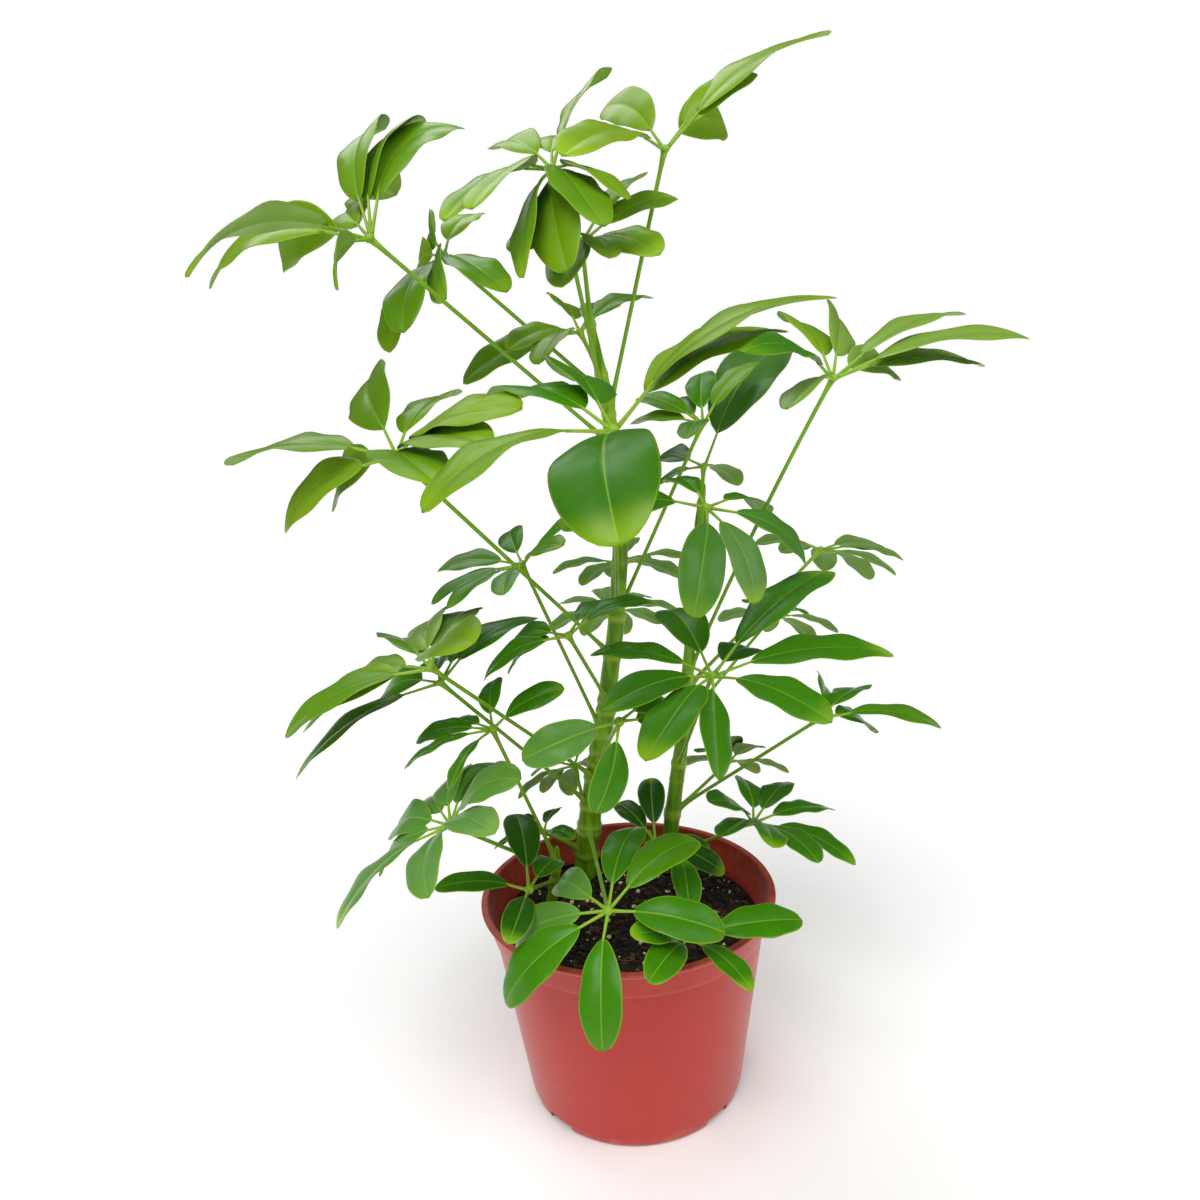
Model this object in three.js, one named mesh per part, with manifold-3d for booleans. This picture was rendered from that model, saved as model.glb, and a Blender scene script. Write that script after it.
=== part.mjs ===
// A potted umbrella tree (Schefflera arboricola) in its plastic nursery pot.
// Millimetres, +Z up. The origin is the middle of the pot's underside, where it stands.
// Pot, soil, four green stems, and one closed body for each palmate leaf: its petiole,
// the hub where the petiole ends, and the leaflets that spread from that hub.
import * as THREE from 'three';
import Module from 'manifold-3d';

const wasm = await Module();
wasm.setup();

// ---------------------------------------------------------------- driving dimensions
const RIM_RADIUS = 77.5;          // outside of the rolled lip
const POT_HEIGHT = 108.5;
const BASE_RADIUS = 57.5;         // outside of the pot where it stands
const WALL = 1.5;
const LIP_DEPTH = 2.2;            // height of the lip's outer edge
const COLLAR_TOP_RADIUS = 75.4;   // collar just under the lip
const COLLAR_FOOT_RADIUS = 72.4;  // collar where it steps in to the body
const COLLAR_HEIGHT = 15;
const BODY_TOP_RADIUS = 71.1;
const BASE_ROUNDING = 2.2;
const FLOOR_THICKNESS = 6.5;      // floor with the drainage channels in its underside
const LIP_ROUNDING = 0.6;
const STEP_RISE = 0.8;            // slope of the step under the collar
const POT_SIDES = 44;

const NOTCH_HEIGHT = 4.4;         // drainage channels that end in notches in the foot
const NOTCH_LENGTH = 22;
const NOTCH_WIDTH = 15.5;
const NOTCH_PAIR_BEARINGS = [-34, 90, 214];
const NOTCH_SPREAD = 24.5;        // between the middles of a pair's two notches, degrees

const SOIL_LEVEL = 93;
const SOIL_DOME = 1.6;
const SOIL_EDGE = 4;              // width of the mix's sunken edge
const SOIL_EDGE_DROP = 1.2;
const GAP = 0.3;                  // between pieces that touch

const STEM_SIDES = 8;
const COLLAR_SWELL = 1.14;        // leaf-scar rings on the stems
const COLLAR_HALF = 1.8;
const RING_SPACING = 0.9;         // least height between two rings of a stem

const PETIOLE_SIDES = 5;
const PETIOLE_STEPS = 3;
const PETIOLE_RADIUS = 1.05;
const SHEATH_RADIUS = 2.3;        // clasping foot of the petiole
const SHEATH_SHARE = 0.08;        // of the petiole's length
const SHEATH_TOP = 1.3;           // of the petiole's radius
const HUB_RADIUS = 2.3;
const HUB_FLATTENING = 0.6;
const HUB_SIDES = 6;

const STALK = 0.2;                // leafstalk's share of a leaflet's length
const STALK_HALF = 0.8;
const KEEL = 0.95;                // depth of the midrib below the blade's middle
const BLADE_WIDTH = 0.34;         // of a leaflet's length
const BLADE_FOLD = 0.08;          // rise of the blade's edges, of its half width
const LEAFLET_STEPS = 20;

// ---------------------------------------------------------------- colours
const TERRACOTTA = { color: 0xb04a3e, roughness: 0.5, metalness: 0 };
const POTTING_SOIL = { color: 0x2a1c14, roughness: 0.95, metalness: 0 };
const GREEN_STEM = { color: 0x7a9a3a, roughness: 0.5, metalness: 0 };
const LEAF_GREEN = { color: 0x4c8f22, roughness: 0.35, metalness: 0 };
const DARK_LEAF_GREEN = { color: 0x28601c, roughness: 0.35, metalness: 0 };

// ---------------------------------------------------------------- stems
// Each stem is a run of straight internodes: [x, y, height, radius] at its bends.
const STEMS = {
  main: [
    [-24, 43, SOIL_LEVEL + SOIL_DOME + GAP, 6.6], [-19, 40, 134, 6.2], [-14, 38, 161, 5.7],
    [-8, 35, 189, 5.2], [-4, 32, 216, 4.8], [1, 28, 246, 4.4], [5, 22, 286, 4.0],
    [4, 17, 328, 3.6], [2, 12, 362, 3.2], [-3, 7, 388, 2.6], [-5, 4, 404, 1.2],
  ],
  second: [
    [24, 46, SOIL_LEVEL + SOIL_DOME + GAP, 4.6], [28, 44, 130, 4.4], [35, 40, 177, 3.8],
    [40, 36, 227, 3.1], [47, 32, 298, 2.4], [50, 31, 318, 1.2],
  ],
  middle: [
    [12, 38, SOIL_LEVEL + SOIL_DOME + GAP, 2.8], [13, 36, 112, 2.4], [14, 34, 124, 1.2],
  ],
  left: [
    [-42, 12, SOIL_LEVEL + SOIL_DOME + GAP, 3.0], [-38, 6, 116, 2.6], [-36, 0, 134, 1.2],
  ],
};

// ---------------------------------------------------------------- leaves
// joint: height on the stem where the petiole leaves it. hub: where the leaflets meet.
// crown: compass bearing that the crown of leaflets leans to, and how far it tips.
// droop: how far a blade bends down from its foot to its tip, degrees.
// leaflets: [compass bearing, length, lift above the crown's plane at the foot, and roll
// of the blade about its own midrib where it isn't flat].
const LEAVES = [
  { name: 'leaf_top_left', stem: 'main', joint: 340, hub: [-95, -35, 433], crown: [210, 40],
    droop: 65, width: 0.3, leaflets: [[54, 88, 30, 30], [66, 88, 38], [78, 90, 45], [90, 85, 28],
      [108, 68, 30], [138, 88, 35, -52], [164, 94, 44, -10], [-115, 96, 47], [-102, 48, 20, 35]] },
  { name: 'leaf_upper_left', stem: 'main', joint: 364, hub: [-75, 32, 436], crown: [215, 45],
    droop: 46, leaflets: [[75, 54, 10, 30], [104, 60, 19, -40], [128, 60, 7, -30],
      [-124, 64, 12, -10], [-103, 70, 18, -15], [-82, 62, 16, 30], [-62, 68, 2, -40]] },
  { name: 'leaf_crown', stem: 'main', joint: 350, hub: [-17, -25, 459], crown: [245, 33],
    droop: 42, width: 0.3, leaflets: [[66, 76, 26, -30], [88, 66, 9], [114, 70, 15], [-126, 70, 24, 5],
      [-112, 72, 27, 10], [-101, 78, 6, 40], [-88, 80, 5, 25], [-74, 74, 12, -30],
      [-60, 62, 12, -35]] },
  { name: 'leaf_top_right', stem: 'main', joint: 355, hub: [34, 10, 473], crown: [280, 28],
    droop: 40, width: 0.3, leaflets: [[32, 104, 40, -15], [42, 66, 40, 5], [62, 82, 13, 50],
      [112, 74, 18, -40], [-124, 86, 24, -5]] },
  { name: 'leaf_top_front', stem: 'main', joint: 396, hub: [-6, -18, 430], crown: [277, 30],
    droop: 38, leaflets: [[38, 57, 24], [60, 60, 28, -25], [-125, 52, 27], [-98, 59, 18, 25],
      [-78, 52, 28, -15], [-56, 57, 27, 10]] },
  { name: 'leaf_under_crown', stem: 'main', joint: 374, hub: [-10, 30, 396], crown: [254, 26],
    droop: 45, leaflets: [[50, 60, 13], [72, 58, 8], [102, 58, 14, 40], [-167, 66, 8, -15],
      [-133, 50, 30, -15], [-108, 58, 26, 15]] },
  { name: 'leaf_front', stem: 'main', joint: 258, hub: [3, -115, 350], crown: [232, 24],
    droop: 56, width: 0.42, leaflets: [[8, 92, 34, -10], [26, 80, 26], [103, 74, 23, 45],
      [126, 76, 25, 20], [-151, 78, 26, 5], [-91, 84, 19]] },
  { name: 'leaf_left', stem: 'main', joint: 228, hub: [-87, -60, 343], crown: [217, 36],
    droop: 42, leaflets: [[79, 72, 8, 10], [103, 84, 28, -15], [146, 76, 2, -30], [160, 90, 34, 20],
      [173, 72, 12, -19], [-62, 77, 20, -35], [-44, 76, 18, -17], [-28, 77, 18, -8]] },
  { name: 'leaf_right', stem: 'second', joint: 212, hub: [105, -15, 366], bow: 0.05,
    crown: [300, 20], droop: 38, width: 0.3, leaflets: [[6, 94, 32, -4], [20, 86, 20],
      [36, 92, 32, -19], [52, 84, 8, 28], [77, 84, 24, 45], [96, 84, 20, 15], [-134, 84, 29, -10],
      [-121, 62, 13, 30]] },
  { name: 'leaf_small_fan', stem: 'main', joint: 250, hub: [50, 30, 348], crown: [233, 22],
    droop: 37, leaflets: [[41, 51, 31], [80, 49, 29], [110, 45, 17], [129, 49, 28],
      [148, 44, 18], [-103, 46, 28]] },
  { name: 'leaf_second_top', stem: 'second', joint: 306, hub: [52, 50, 325], crown: [223, 30],
    droop: 41, leaflets: [[39, 92, 34, 30], [119, 62, 6], [62, 42, -35], [155, 36, 2]] },
  { name: 'leaf_second_front', stem: 'second', joint: 236, hub: [46, -15, 310], crown: [300, 35],
    droop: 58, width: 0.32, leaflets: [[106, 46, 0, -10], [-172, 74, 6], [-97, 66, 7],
      [-67, 58, 10], [-6, 62, 6], [40, 60, 0, -20]] },
  { name: 'leaf_left_thin', stem: 'main', joint: 182, hub: [-46, 20, 282], crown: [208, 31],
    droop: 38, leaflets: [[101, 48, 20], [158, 53, 30], [-166, 52, 25], [-140, 48, 26],
      [-93, 46, 24], [-46, 49, 28], [-4, 50, 24]] },
  { name: 'leaf_mid_left', stem: 'main', joint: 202, hub: [-22, -25, 254], crown: [223, 28],
    droop: 51, leaflets: [[30, 49, 5], [62, 46, 2], [146, 48, 8], [162, 47, -2],
      [178, 52, 10]] },
  { name: 'leaf_left_low', stem: 'main', joint: 155, hub: [-84, -45, 247], crown: [190, 32],
    droop: 42, leaflets: [[82, 74, 14, 20], [97, 74, 20], [115, 76, 22, 45], [146, 75, 21],
      [167, 82, 20, -10], [-177, 78, 26, -10], [-53, 75, 26]] },
  { name: 'leaf_left_behind', stem: 'main', joint: 138, hub: [-88, -8, 229], crown: [187, 24],
    droop: 43, leaflets: [[43, 70, 15, 15], [67, 70, 15], [138, 69, 12, -20], [-157, 84, 14],
      [100, 66, 12]] },
  { name: 'leaf_left_small', stem: 'left', joint: 124, hub: [-63, -15, 206], crown: [213, 29],
    droop: 42, leaflets: [[2, 44, 22, 20], [92, 43, 20], [140, 44, 12, 25], [166, 46, 23],
      [-167, 49, 23, 15], [-113, 44, 20, 15]] },
  { name: 'leaf_low_left', stem: 'left', joint: 118, hub: [-80, -55, 175], crown: [183, 34],
    droop: 50, leaflets: [[70, 58, 14, 25], [90, 60, 20], [111, 60, 19], [138, 60, 21, -15],
      [160, 58, 13, -10], [-153, 67, 20], [-90, 60, 18], [-54, 59, 20, -15], [-26, 57, 26, 15]] },
  { name: 'leaf_rim_left', stem: 'left', joint: 110, hub: [-47, -45, 135], crown: [330, 15],
    droop: 44, leaflets: [[72, 42, 5], [104, 53, 27], [-171, 46, 15], [-99, 43, 20]] },
  { name: 'leaf_rim_front', stem: 'main', joint: 122, hub: [-9, -80, 143], crown: [240, 35],
    droop: 54, leaflets: [[41, 58, 5], [78, 56, 3], [135, 52, -5], [176, 56, 3],
      [-154, 64, 8], [-100, 58, 5], [-15, 54, 5]] },
  { name: 'leaf_rim_right', stem: 'second', joint: 108, hub: [27, -70, 122],
    crown: [318, 24], droop: 36, leaflets: [[8, 54, 32], [94, 42, 25], [-150, 42, 37],
      [-124, 46, 27], [-60, 42, 32]] },
  { name: 'leaf_front_low', stem: 'main', joint: 165, hub: [0, -70, 226], crown: [303, 50],
    droop: 56, width: 0.38, leaflets: [[18, 40, -8], [42, 42, 0], [-157, 47, 0],
      [-100, 42, 0]] },
  { name: 'leaf_middle_right', stem: 'second', joint: 160, hub: [43, -45, 237], crown: [273, 19],
    droop: 43, leaflets: [[0, 84, 23, -10], [40, 87, 33, -20], [60, 64, -5], [104, 68, 14],
      [152, 64, 12, 10], [-149, 61, 22], [-120, 69, 18, 15], [-94, 60, 6, -45], [-42, 62, 20]] },
  { name: 'leaf_right_low', stem: 'second', joint: 130, hub: [108, 20, 191], crown: [353, 21],
    droop: 41, leaflets: [[2, 67, 29], [40, 59, 6, 10], [57, 62, 24, -30], [76, 59, 18, 40]] },
  { name: 'leaf_rim_far_right', stem: 'second', joint: 101, hub: [67, -5, 145], crown: [356, 26],
    droop: 37, leaflets: [[28, 54, 30, -15], [64, 52, 27, -30], [90, 48, 18], [-140, 50, 31],
      [-122, 52, 20, 30], [-95, 50, 28], [-64, 50, 27, 15], [-27, 55, 24, 10]] },
  { name: 'leaf_soil_middle', stem: 'middle', joint: 114, hub: [16, 12, 128], dark: true,
    crown: [272, 29], droop: 47, leaflets: [[-2, 32, 5], [90, 44, 19], [122, 39, 7],
      [-28, 42, 13]] },
  { name: 'leaf_back_right', stem: 'second', joint: 205, hub: [117, 60, 275], dark: true,
    crown: [41, 28], droop: 43, leaflets: [[111, 45, 18], [138, 45, 15], [-57, 45, 19],
      [-30, 47, 20], [0, 45, 15], [38, 48, 15], [75, 46, 15]] },
  { name: 'leaf_back_far_right', stem: 'second', joint: 184, hub: [97, 100, 229], dark: true,
    crown: [58, 30], droop: 45, leaflets: [[87, 39, 15], [-123, 39, 11], [-96, 40, 20],
      [-69, 39, 11], [0, 42, 15], [42, 45, 12], [138, 42, 12]] },
  { name: 'leaf_back', stem: 'main', joint: 196, hub: [6, 80, 270], dark: true,
    crown: [92, 24], droop: 43, leaflets: [[36, 47, 10], [66, 44, 26], [98, 44, 19],
      [124, 46, 12], [-84, 45, 18], [0, 44, 15], [165, 44, 15]] },
  { name: 'leaf_back_low', stem: 'main', joint: 172, hub: [-2, 95, 238], dark: true,
    crown: [92, 31], droop: 45, leaflets: [[38, 41, 14], [-137, 41, 14], [-97, 41, 18],
      [-53, 40, 12], [0, 42, 15], [78, 44, 14], [115, 44, 14], [155, 44, 12]] },
  { name: 'leaf_back_left', stem: 'main', joint: 126, hub: [-28, 66, 152], dark: true,
    crown: [123, 40], droop: 45, leaflets: [[62, 42, 15], [100, 44, 7], [126, 41, 16],
      [-128, 41, 12], [-99, 44, 21], [-69, 42, 15], [160, 42, 14]] },
  { name: 'leaf_soil_left', stem: 'main', joint: 108, hub: [-46, 34, 126], dark: true,
    crown: [175, 18], droop: 43, leaflets: [[76, 31, 14], [128, 33, 22], [-107, 31, 23],
      [-51, 32, 16], [175, 32, 15]] },
  { name: 'leaf_soil_right', stem: 'second', joint: 128, hub: [64, 70, 148], dark: true,
    crown: [73, 33], droop: 42, leaflets: [[57, 40, 17], [95, 40, 19], [-122, 40, 12],
      [-95, 42, 26], [-68, 41, 21], [15, 40, 15], [132, 40, 15]] },
];

// ---------------------------------------------------------------- solids
const radians = THREE.MathUtils.degToRad;
const vec = (x, y, z) => new THREE.Vector3(x, y, z);

function solid(geometry) {
  const position = geometry.getAttribute('position').array;
  const mesh = new wasm.Mesh({
    numProp: 3,
    vertProperties: new Float32Array(position),
    triVerts: new Uint32Array(geometry.index.array),
  });
  return new wasm.Manifold(mesh);
}

function geometryOf(manifold) {
  const { vertProperties, triVerts } = manifold.getMesh();
  const geometry = new THREE.BufferGeometry();
  geometry.setAttribute('position', new THREE.BufferAttribute(vertProperties, 3));
  geometry.setIndex(new THREE.BufferAttribute(triVerts, 1));
  return geometry;
}

// A closed skin over rings of points that all have the same count; a last single
// point closes the skin to a tip. The rings run anticlockwise seen from the far end.
function skin(rings, tip) {
  const count = rings[0].length;
  const points = rings.flat();
  const faces = [];
  for (let i = 1; i < count - 1; i += 1) faces.push(0, i + 1, i);
  for (let r = 0; r < rings.length - 1; r += 1) {
    for (let i = 0; i < count; i += 1) {
      const a = r * count + i;
      const b = r * count + ((i + 1) % count);
      faces.push(a, b, b + count, a, b + count, a + count);
    }
  }
  const last = (rings.length - 1) * count;
  if (tip) {
    points.push(tip);
    for (let i = 0; i < count; i += 1) {
      faces.push(last + i, last + ((i + 1) % count), points.length - 1);
    }
  } else {
    for (let i = 1; i < count - 1; i += 1) faces.push(last, last + i, last + i + 1);
  }
  const geometry = new THREE.BufferGeometry();
  geometry.setAttribute('position', new THREE.Float32BufferAttribute(
    points.flatMap((point) => point.toArray()), 3));
  geometry.setIndex(faces);
  return geometry;
}

// A round ring of points about a centre, square to a direction.
function ring(centre, direction, radius, sides) {
  const turn = new THREE.Quaternion().setFromUnitVectors(vec(0, 0, 1), direction);
  return Array.from({ length: sides }, (_, i) => {
    const angle = (2 * Math.PI * i) / sides;
    return vec(radius * Math.cos(angle), radius * Math.sin(angle), 0)
      .applyQuaternion(turn).add(centre);
  });
}

function mesh(name, geometry, look) {
  geometry.computeVertexNormals();
  const result = new THREE.Mesh(geometry, new THREE.MeshStandardMaterial(look));
  result.name = name;
  return result;
}

// ---------------------------------------------------------------- pot
function bodyRadius(height) {
  const top = POT_HEIGHT - COLLAR_HEIGHT;
  return THREE.MathUtils.lerp(BASE_RADIUS, BODY_TOP_RADIUS, height / top);
}

// The pot turned about its axis: underside, body, collar, lip, then down the inside.
function potTurning() {
  const collarFoot = POT_HEIGHT - COLLAR_HEIGHT;
  const lipUnder = POT_HEIGHT - LIP_DEPTH;
  const profile = [
    [BASE_RADIUS - BASE_ROUNDING, 0], [bodyRadius(BASE_ROUNDING), BASE_ROUNDING],
    [BODY_TOP_RADIUS, collarFoot], [COLLAR_FOOT_RADIUS, collarFoot + STEP_RISE],
    [COLLAR_TOP_RADIUS, lipUnder], [RIM_RADIUS, lipUnder + LIP_ROUNDING],
    [RIM_RADIUS, POT_HEIGHT - LIP_ROUNDING], [RIM_RADIUS - LIP_ROUNDING, POT_HEIGHT],
    [COLLAR_TOP_RADIUS - WALL + LIP_ROUNDING, POT_HEIGHT],
    [COLLAR_TOP_RADIUS - WALL, lipUnder],
    [COLLAR_FOOT_RADIUS - WALL, collarFoot + STEP_RISE],
    [BODY_TOP_RADIUS - WALL, collarFoot - STEP_RISE],
    [bodyRadius(FLOOR_THICKNESS) - WALL, FLOOR_THICKNESS],
  ];
  const rings = profile.map(([radius, height]) => (
    ring(vec(0, 0, height), vec(0, 0, 1), radius, POT_SIDES)));
  return solid(skin(rings));
}

// One radial drainage channel, open at the foot's edge.
function notch(bearing) {
  const outer = BASE_RADIUS + 2;
  const corners = [[outer - NOTCH_LENGTH, -1], [outer, -1], [outer, 1],
    [outer - NOTCH_LENGTH, 1]];
  const turn = new THREE.Quaternion().setFromAxisAngle(vec(0, 0, 1), radians(bearing));
  const level = (height) => corners.map(([reach, side]) => (
    vec(reach, side * NOTCH_WIDTH / 2, height).applyQuaternion(turn)));
  return solid(skin([level(-1), level(NOTCH_HEIGHT)]));
}

function makePot() {
  let pot = potTurning();
  for (const middle of NOTCH_PAIR_BEARINGS) {
    for (const side of [-1, 1]) {
      pot = pot.subtract(notch(middle + side * NOTCH_SPREAD / 2));
    }
  }
  return geometryOf(pot);
}

// ---------------------------------------------------------------- soil
function makeSoil() {
  const side = bodyRadius(SOIL_LEVEL) - WALL - GAP;
  const foot = bodyRadius(FLOOR_THICKNESS) - WALL - GAP;
  const profile = [
    [foot, FLOOR_THICKNESS + GAP], [side, SOIL_LEVEL - SOIL_EDGE_DROP],
    [side - SOIL_EDGE, SOIL_LEVEL],
    [side * 0.7, SOIL_LEVEL + SOIL_DOME * 0.5], [side * 0.3, SOIL_LEVEL + SOIL_DOME],
  ];
  const rings = profile.map(([radius, height]) => (
    ring(vec(0, 0, height), vec(0, 0, 1), radius, POT_SIDES / 2)));
  return skin(rings);
}

// ---------------------------------------------------------------- stems
// The middle of a stem and its radius at a height, between two of its bends.
function stemAt(stem, height) {
  const bends = STEMS[stem];
  let i = 0;
  while (i < bends.length - 2 && bends[i + 1][2] < height) i += 1;
  const share = (height - bends[i][2]) / (bends[i + 1][2] - bends[i][2]);
  const lower = vec(...bends[i].slice(0, 3));
  const upper = vec(...bends[i + 1].slice(0, 3));
  return {
    middle: lower.clone().lerp(upper, share),
    direction: upper.sub(lower).normalize(),
    radius: THREE.MathUtils.lerp(bends[i][3], bends[i + 1][3], share),
  };
}

// Rings at the bends, and three at each leaf joint for its swollen scar.
function makeStem(stem, swollenBy) {
  const heights = STEMS[stem].map((bend) => ({ height: bend[2], swell: 1 }));
  const joints = LEAVES.filter((leaf) => leaf.stem === stem).map((leaf) => leaf.joint);
  for (const joint of joints) {
    heights.push({ height: joint - COLLAR_HALF, swell: 1 });
    heights.push({ height: joint, swell: COLLAR_SWELL });
    heights.push({ height: joint + COLLAR_HALF, swell: 1 });
  }
  heights.sort((a, b) => a.height - b.height);
  const spaced = heights.filter((level, i) => (
    i === 0 || level.height - heights[i - 1].height > RING_SPACING));
  const rings = spaced.map(({ height, swell }) => {
    const { middle, radius } = stemAt(stem, height);
    return ring(middle, vec(0, 0, 1), radius * swell + swollenBy, STEM_SIDES);
  });
  return skin(rings);
}

// ---------------------------------------------------------------- leaves
// The crown's normal, its east and its north: the plane that the leaflets spread in.
function crownAxes([lean, tip]) {
  const normal = vec(
    Math.sin(radians(tip)) * Math.cos(radians(lean)),
    Math.sin(radians(tip)) * Math.sin(radians(lean)),
    Math.cos(radians(tip)));
  const east = vec(1, 0, 0).addScaledVector(normal, -normal.x).normalize();
  const north = normal.clone().cross(east);
  return { normal, east, north };
}

// The midrib: straight along the stalk, then bending down through the droop.
function midrib(hub, along, normal, length, lift, droop) {
  const stations = [];
  const root = HUB_RADIUS * HUB_FLATTENING;
  const point = hub.clone().addScaledVector(along, root);
  for (let step = 0; step <= LEAFLET_STEPS; step += 1) {
    const share = (step - 0.5) / LEAFLET_STEPS;
    const bend = Math.max(0, (share - STALK) / (1 - STALK));
    const angle = radians(lift - droop * bend);
    const forward = along.clone().multiplyScalar(Math.cos(angle))
      .addScaledVector(normal, Math.sin(angle));
    const up = normal.clone().multiplyScalar(Math.cos(angle))
      .addScaledVector(along, -Math.sin(angle));
    if (step > 0) point.addScaledVector(forward, (length - root) / LEAFLET_STEPS);
    stations.push({ point: point.clone(), up });
  }
  return stations;
}

// A direction turned towards another one, square to it, by an angle in degrees.
function turned(direction, towards, angle) {
  return direction.clone().multiplyScalar(Math.cos(radians(angle)))
    .addScaledVector(towards, Math.sin(radians(angle)));
}

// One leaflet: a stalk that opens into a blade, widest past its middle.
function leaflet(hub, axes, droop, width, [bearing, length, lift, roll = 0]) {
  const along = axes.east.clone().multiplyScalar(Math.cos(radians(bearing)))
    .addScaledVector(axes.north, Math.sin(radians(bearing)));
  const across = axes.normal.clone().cross(along);
  const stations = midrib(hub, along, axes.normal, length, lift, droop);
  const half = (length * width) / 2;
  const shape = [
    { share: 0, half: STALK_HALF * 0.6, fold: 0 },
    { share: STALK, half: STALK_HALF * 1.5, fold: 0 },
    { share: 0.5, half, fold: BLADE_FOLD },
    { share: 0.8, half: half * 0.86, fold: BLADE_FOLD },
  ];
  const rings = shape.map(({ share, half: reach, fold }) => {
    const { point, up } = stations[Math.round(share * LEAFLET_STEPS)];
    const rise = turned(up, across, -roll);
    const edge = (side) => point.clone()
      .addScaledVector(turned(across, up, roll), side * reach)
      .addScaledVector(rise, fold * reach);
    return [edge(-1), point.clone().addScaledVector(rise, -KEEL), edge(1)];
  });
  return solid(skin(rings, stations[LEAFLET_STEPS].point));
}

// The petiole leaves the stem, arcs by its bow (a share of its length) and ends at the hub.
function petiole(start, hub, bow) {
  const bend = start.clone().lerp(hub, 0.5);
  bend.z += bow * start.distanceTo(hub);
  const path = new THREE.QuadraticBezierCurve3(start, bend, hub);
  const shares = [0, SHEATH_SHARE];
  for (let step = 1; step <= PETIOLE_STEPS; step += 1) shares.push(step / PETIOLE_STEPS);
  const rings = shares.map((share) => ring(
    path.getPoint(share), path.getTangent(share),
    share === 0 ? SHEATH_RADIUS : PETIOLE_RADIUS * (share === SHEATH_SHARE ? SHEATH_TOP : 1),
    PETIOLE_SIDES));
  return solid(skin(rings));
}

function makeLeaf({ stem, joint, hub, bow = 0, crown, droop, width = BLADE_WIDTH, leaflets }) {
  const centre = vec(...hub);
  const axes = crownAxes(crown);
  const knob = ring(centre, axes.normal, HUB_RADIUS, HUB_SIDES);
  const under = centre.clone().addScaledVector(axes.normal, -HUB_RADIUS);
  const over = centre.clone().addScaledVector(axes.normal, HUB_RADIUS * HUB_FLATTENING);
  const lower = knob.map((point) => point.clone().lerp(under, 0.6));
  let leaf = solid(skin([lower, knob], over));
  leaf = leaf.add(petiole(stemAt(stem, joint).middle, centre, bow));
  for (const one of leaflets) leaf = leaf.add(leaflet(centre, axes, droop, width, one));
  const cut = leaf.subtract(solid(makeStem(stem, GAP))).decompose();
  cut.sort((a, b) => b.volume() - a.volume());   // slivers beyond the stem are dropped
  return geometryOf(cut[0]);
}

// ---------------------------------------------------------------- the plant
const plant = new THREE.Group();
plant.add(mesh('pot', makePot(), TERRACOTTA));
plant.add(mesh('soil', makeSoil(), POTTING_SOIL));
for (const stem of Object.keys(STEMS)) {
  plant.add(mesh(`stem_${stem}`, makeStem(stem, 0), GREEN_STEM));
}
for (const leaf of LEAVES) {
  plant.add(mesh(leaf.name, makeLeaf(leaf), leaf.dark ? DARK_LEAF_GREEN : LEAF_GREEN));
}

export default plant;
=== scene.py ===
import math
import random

import bmesh
import bpy
from mathutils import Matrix, Quaternion, Vector, noise


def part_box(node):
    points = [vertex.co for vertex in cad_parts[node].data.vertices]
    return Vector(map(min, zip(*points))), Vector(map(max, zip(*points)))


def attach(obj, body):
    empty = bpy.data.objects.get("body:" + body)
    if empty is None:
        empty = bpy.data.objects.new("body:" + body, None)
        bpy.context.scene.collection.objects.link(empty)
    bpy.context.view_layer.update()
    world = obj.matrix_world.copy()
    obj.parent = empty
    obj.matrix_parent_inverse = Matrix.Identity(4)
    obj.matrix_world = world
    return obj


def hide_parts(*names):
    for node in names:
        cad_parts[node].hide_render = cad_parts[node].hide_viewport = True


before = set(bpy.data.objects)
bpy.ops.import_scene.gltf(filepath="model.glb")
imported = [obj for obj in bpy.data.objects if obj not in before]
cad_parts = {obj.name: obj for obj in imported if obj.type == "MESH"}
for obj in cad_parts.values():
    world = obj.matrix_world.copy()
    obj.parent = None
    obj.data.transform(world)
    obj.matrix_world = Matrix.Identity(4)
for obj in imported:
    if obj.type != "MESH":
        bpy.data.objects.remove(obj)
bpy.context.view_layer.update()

bl_info = {
    "name": "Potted umbrella tree",
    "version": (1, 0, 0),
    "blender": (4, 5, 0),
    "location": "View3D > Sidebar > Umbrella tree",
    "description": "Builds the pot, the potting mix, the green stems and the palmate leaves",
    "category": "Add Mesh",
}

MM = 0.001
BODY = "root"
POT_LOW, POT_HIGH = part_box("pot")
SOIL_LOW, SOIL_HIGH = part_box("soil")
RIM_RADIUS = (POT_HIGH[0] - POT_LOW[0]) / 2
POT_HEIGHT = POT_HIGH[2]
SOIL_RADIUS = (SOIL_HIGH[0] - SOIL_LOW[0]) / 2
SOIL_TOP = SOIL_HIGH[2] / MM

# The stems' bends, in millimetres: (x, y, height, radius).
STEMS = {
    "main": (
        (-24, 43, SOIL_TOP, 6.6), (-19, 40, 134, 6.2), (-14, 38, 161, 5.7), (-8, 35, 189, 5.2),
        (-4, 32, 216, 4.8), (1, 28, 246, 4.4), (5, 22, 286, 4), (4, 17, 328, 3.6),
        (2, 12, 362, 3.2), (-3, 7, 388, 2.6), (-5, 4, 404, 1.2),
    ),
    "second": (
        (24, 46, SOIL_TOP, 4.6), (28, 44, 130, 4.4), (35, 40, 177, 3.8), (40, 36, 227, 3.1),
        (47, 32, 298, 2.4), (50, 31, 318, 1.2),
    ),
    "middle": (
        (12, 38, SOIL_TOP, 2.8), (13, 36, 112, 2.4), (14, 34, 124, 1.2),
    ),
    "left": (
        (-42, 12, SOIL_TOP, 3), (-38, 6, 116, 2.6), (-36, 0, 134, 1.2),
    ),
}

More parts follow.
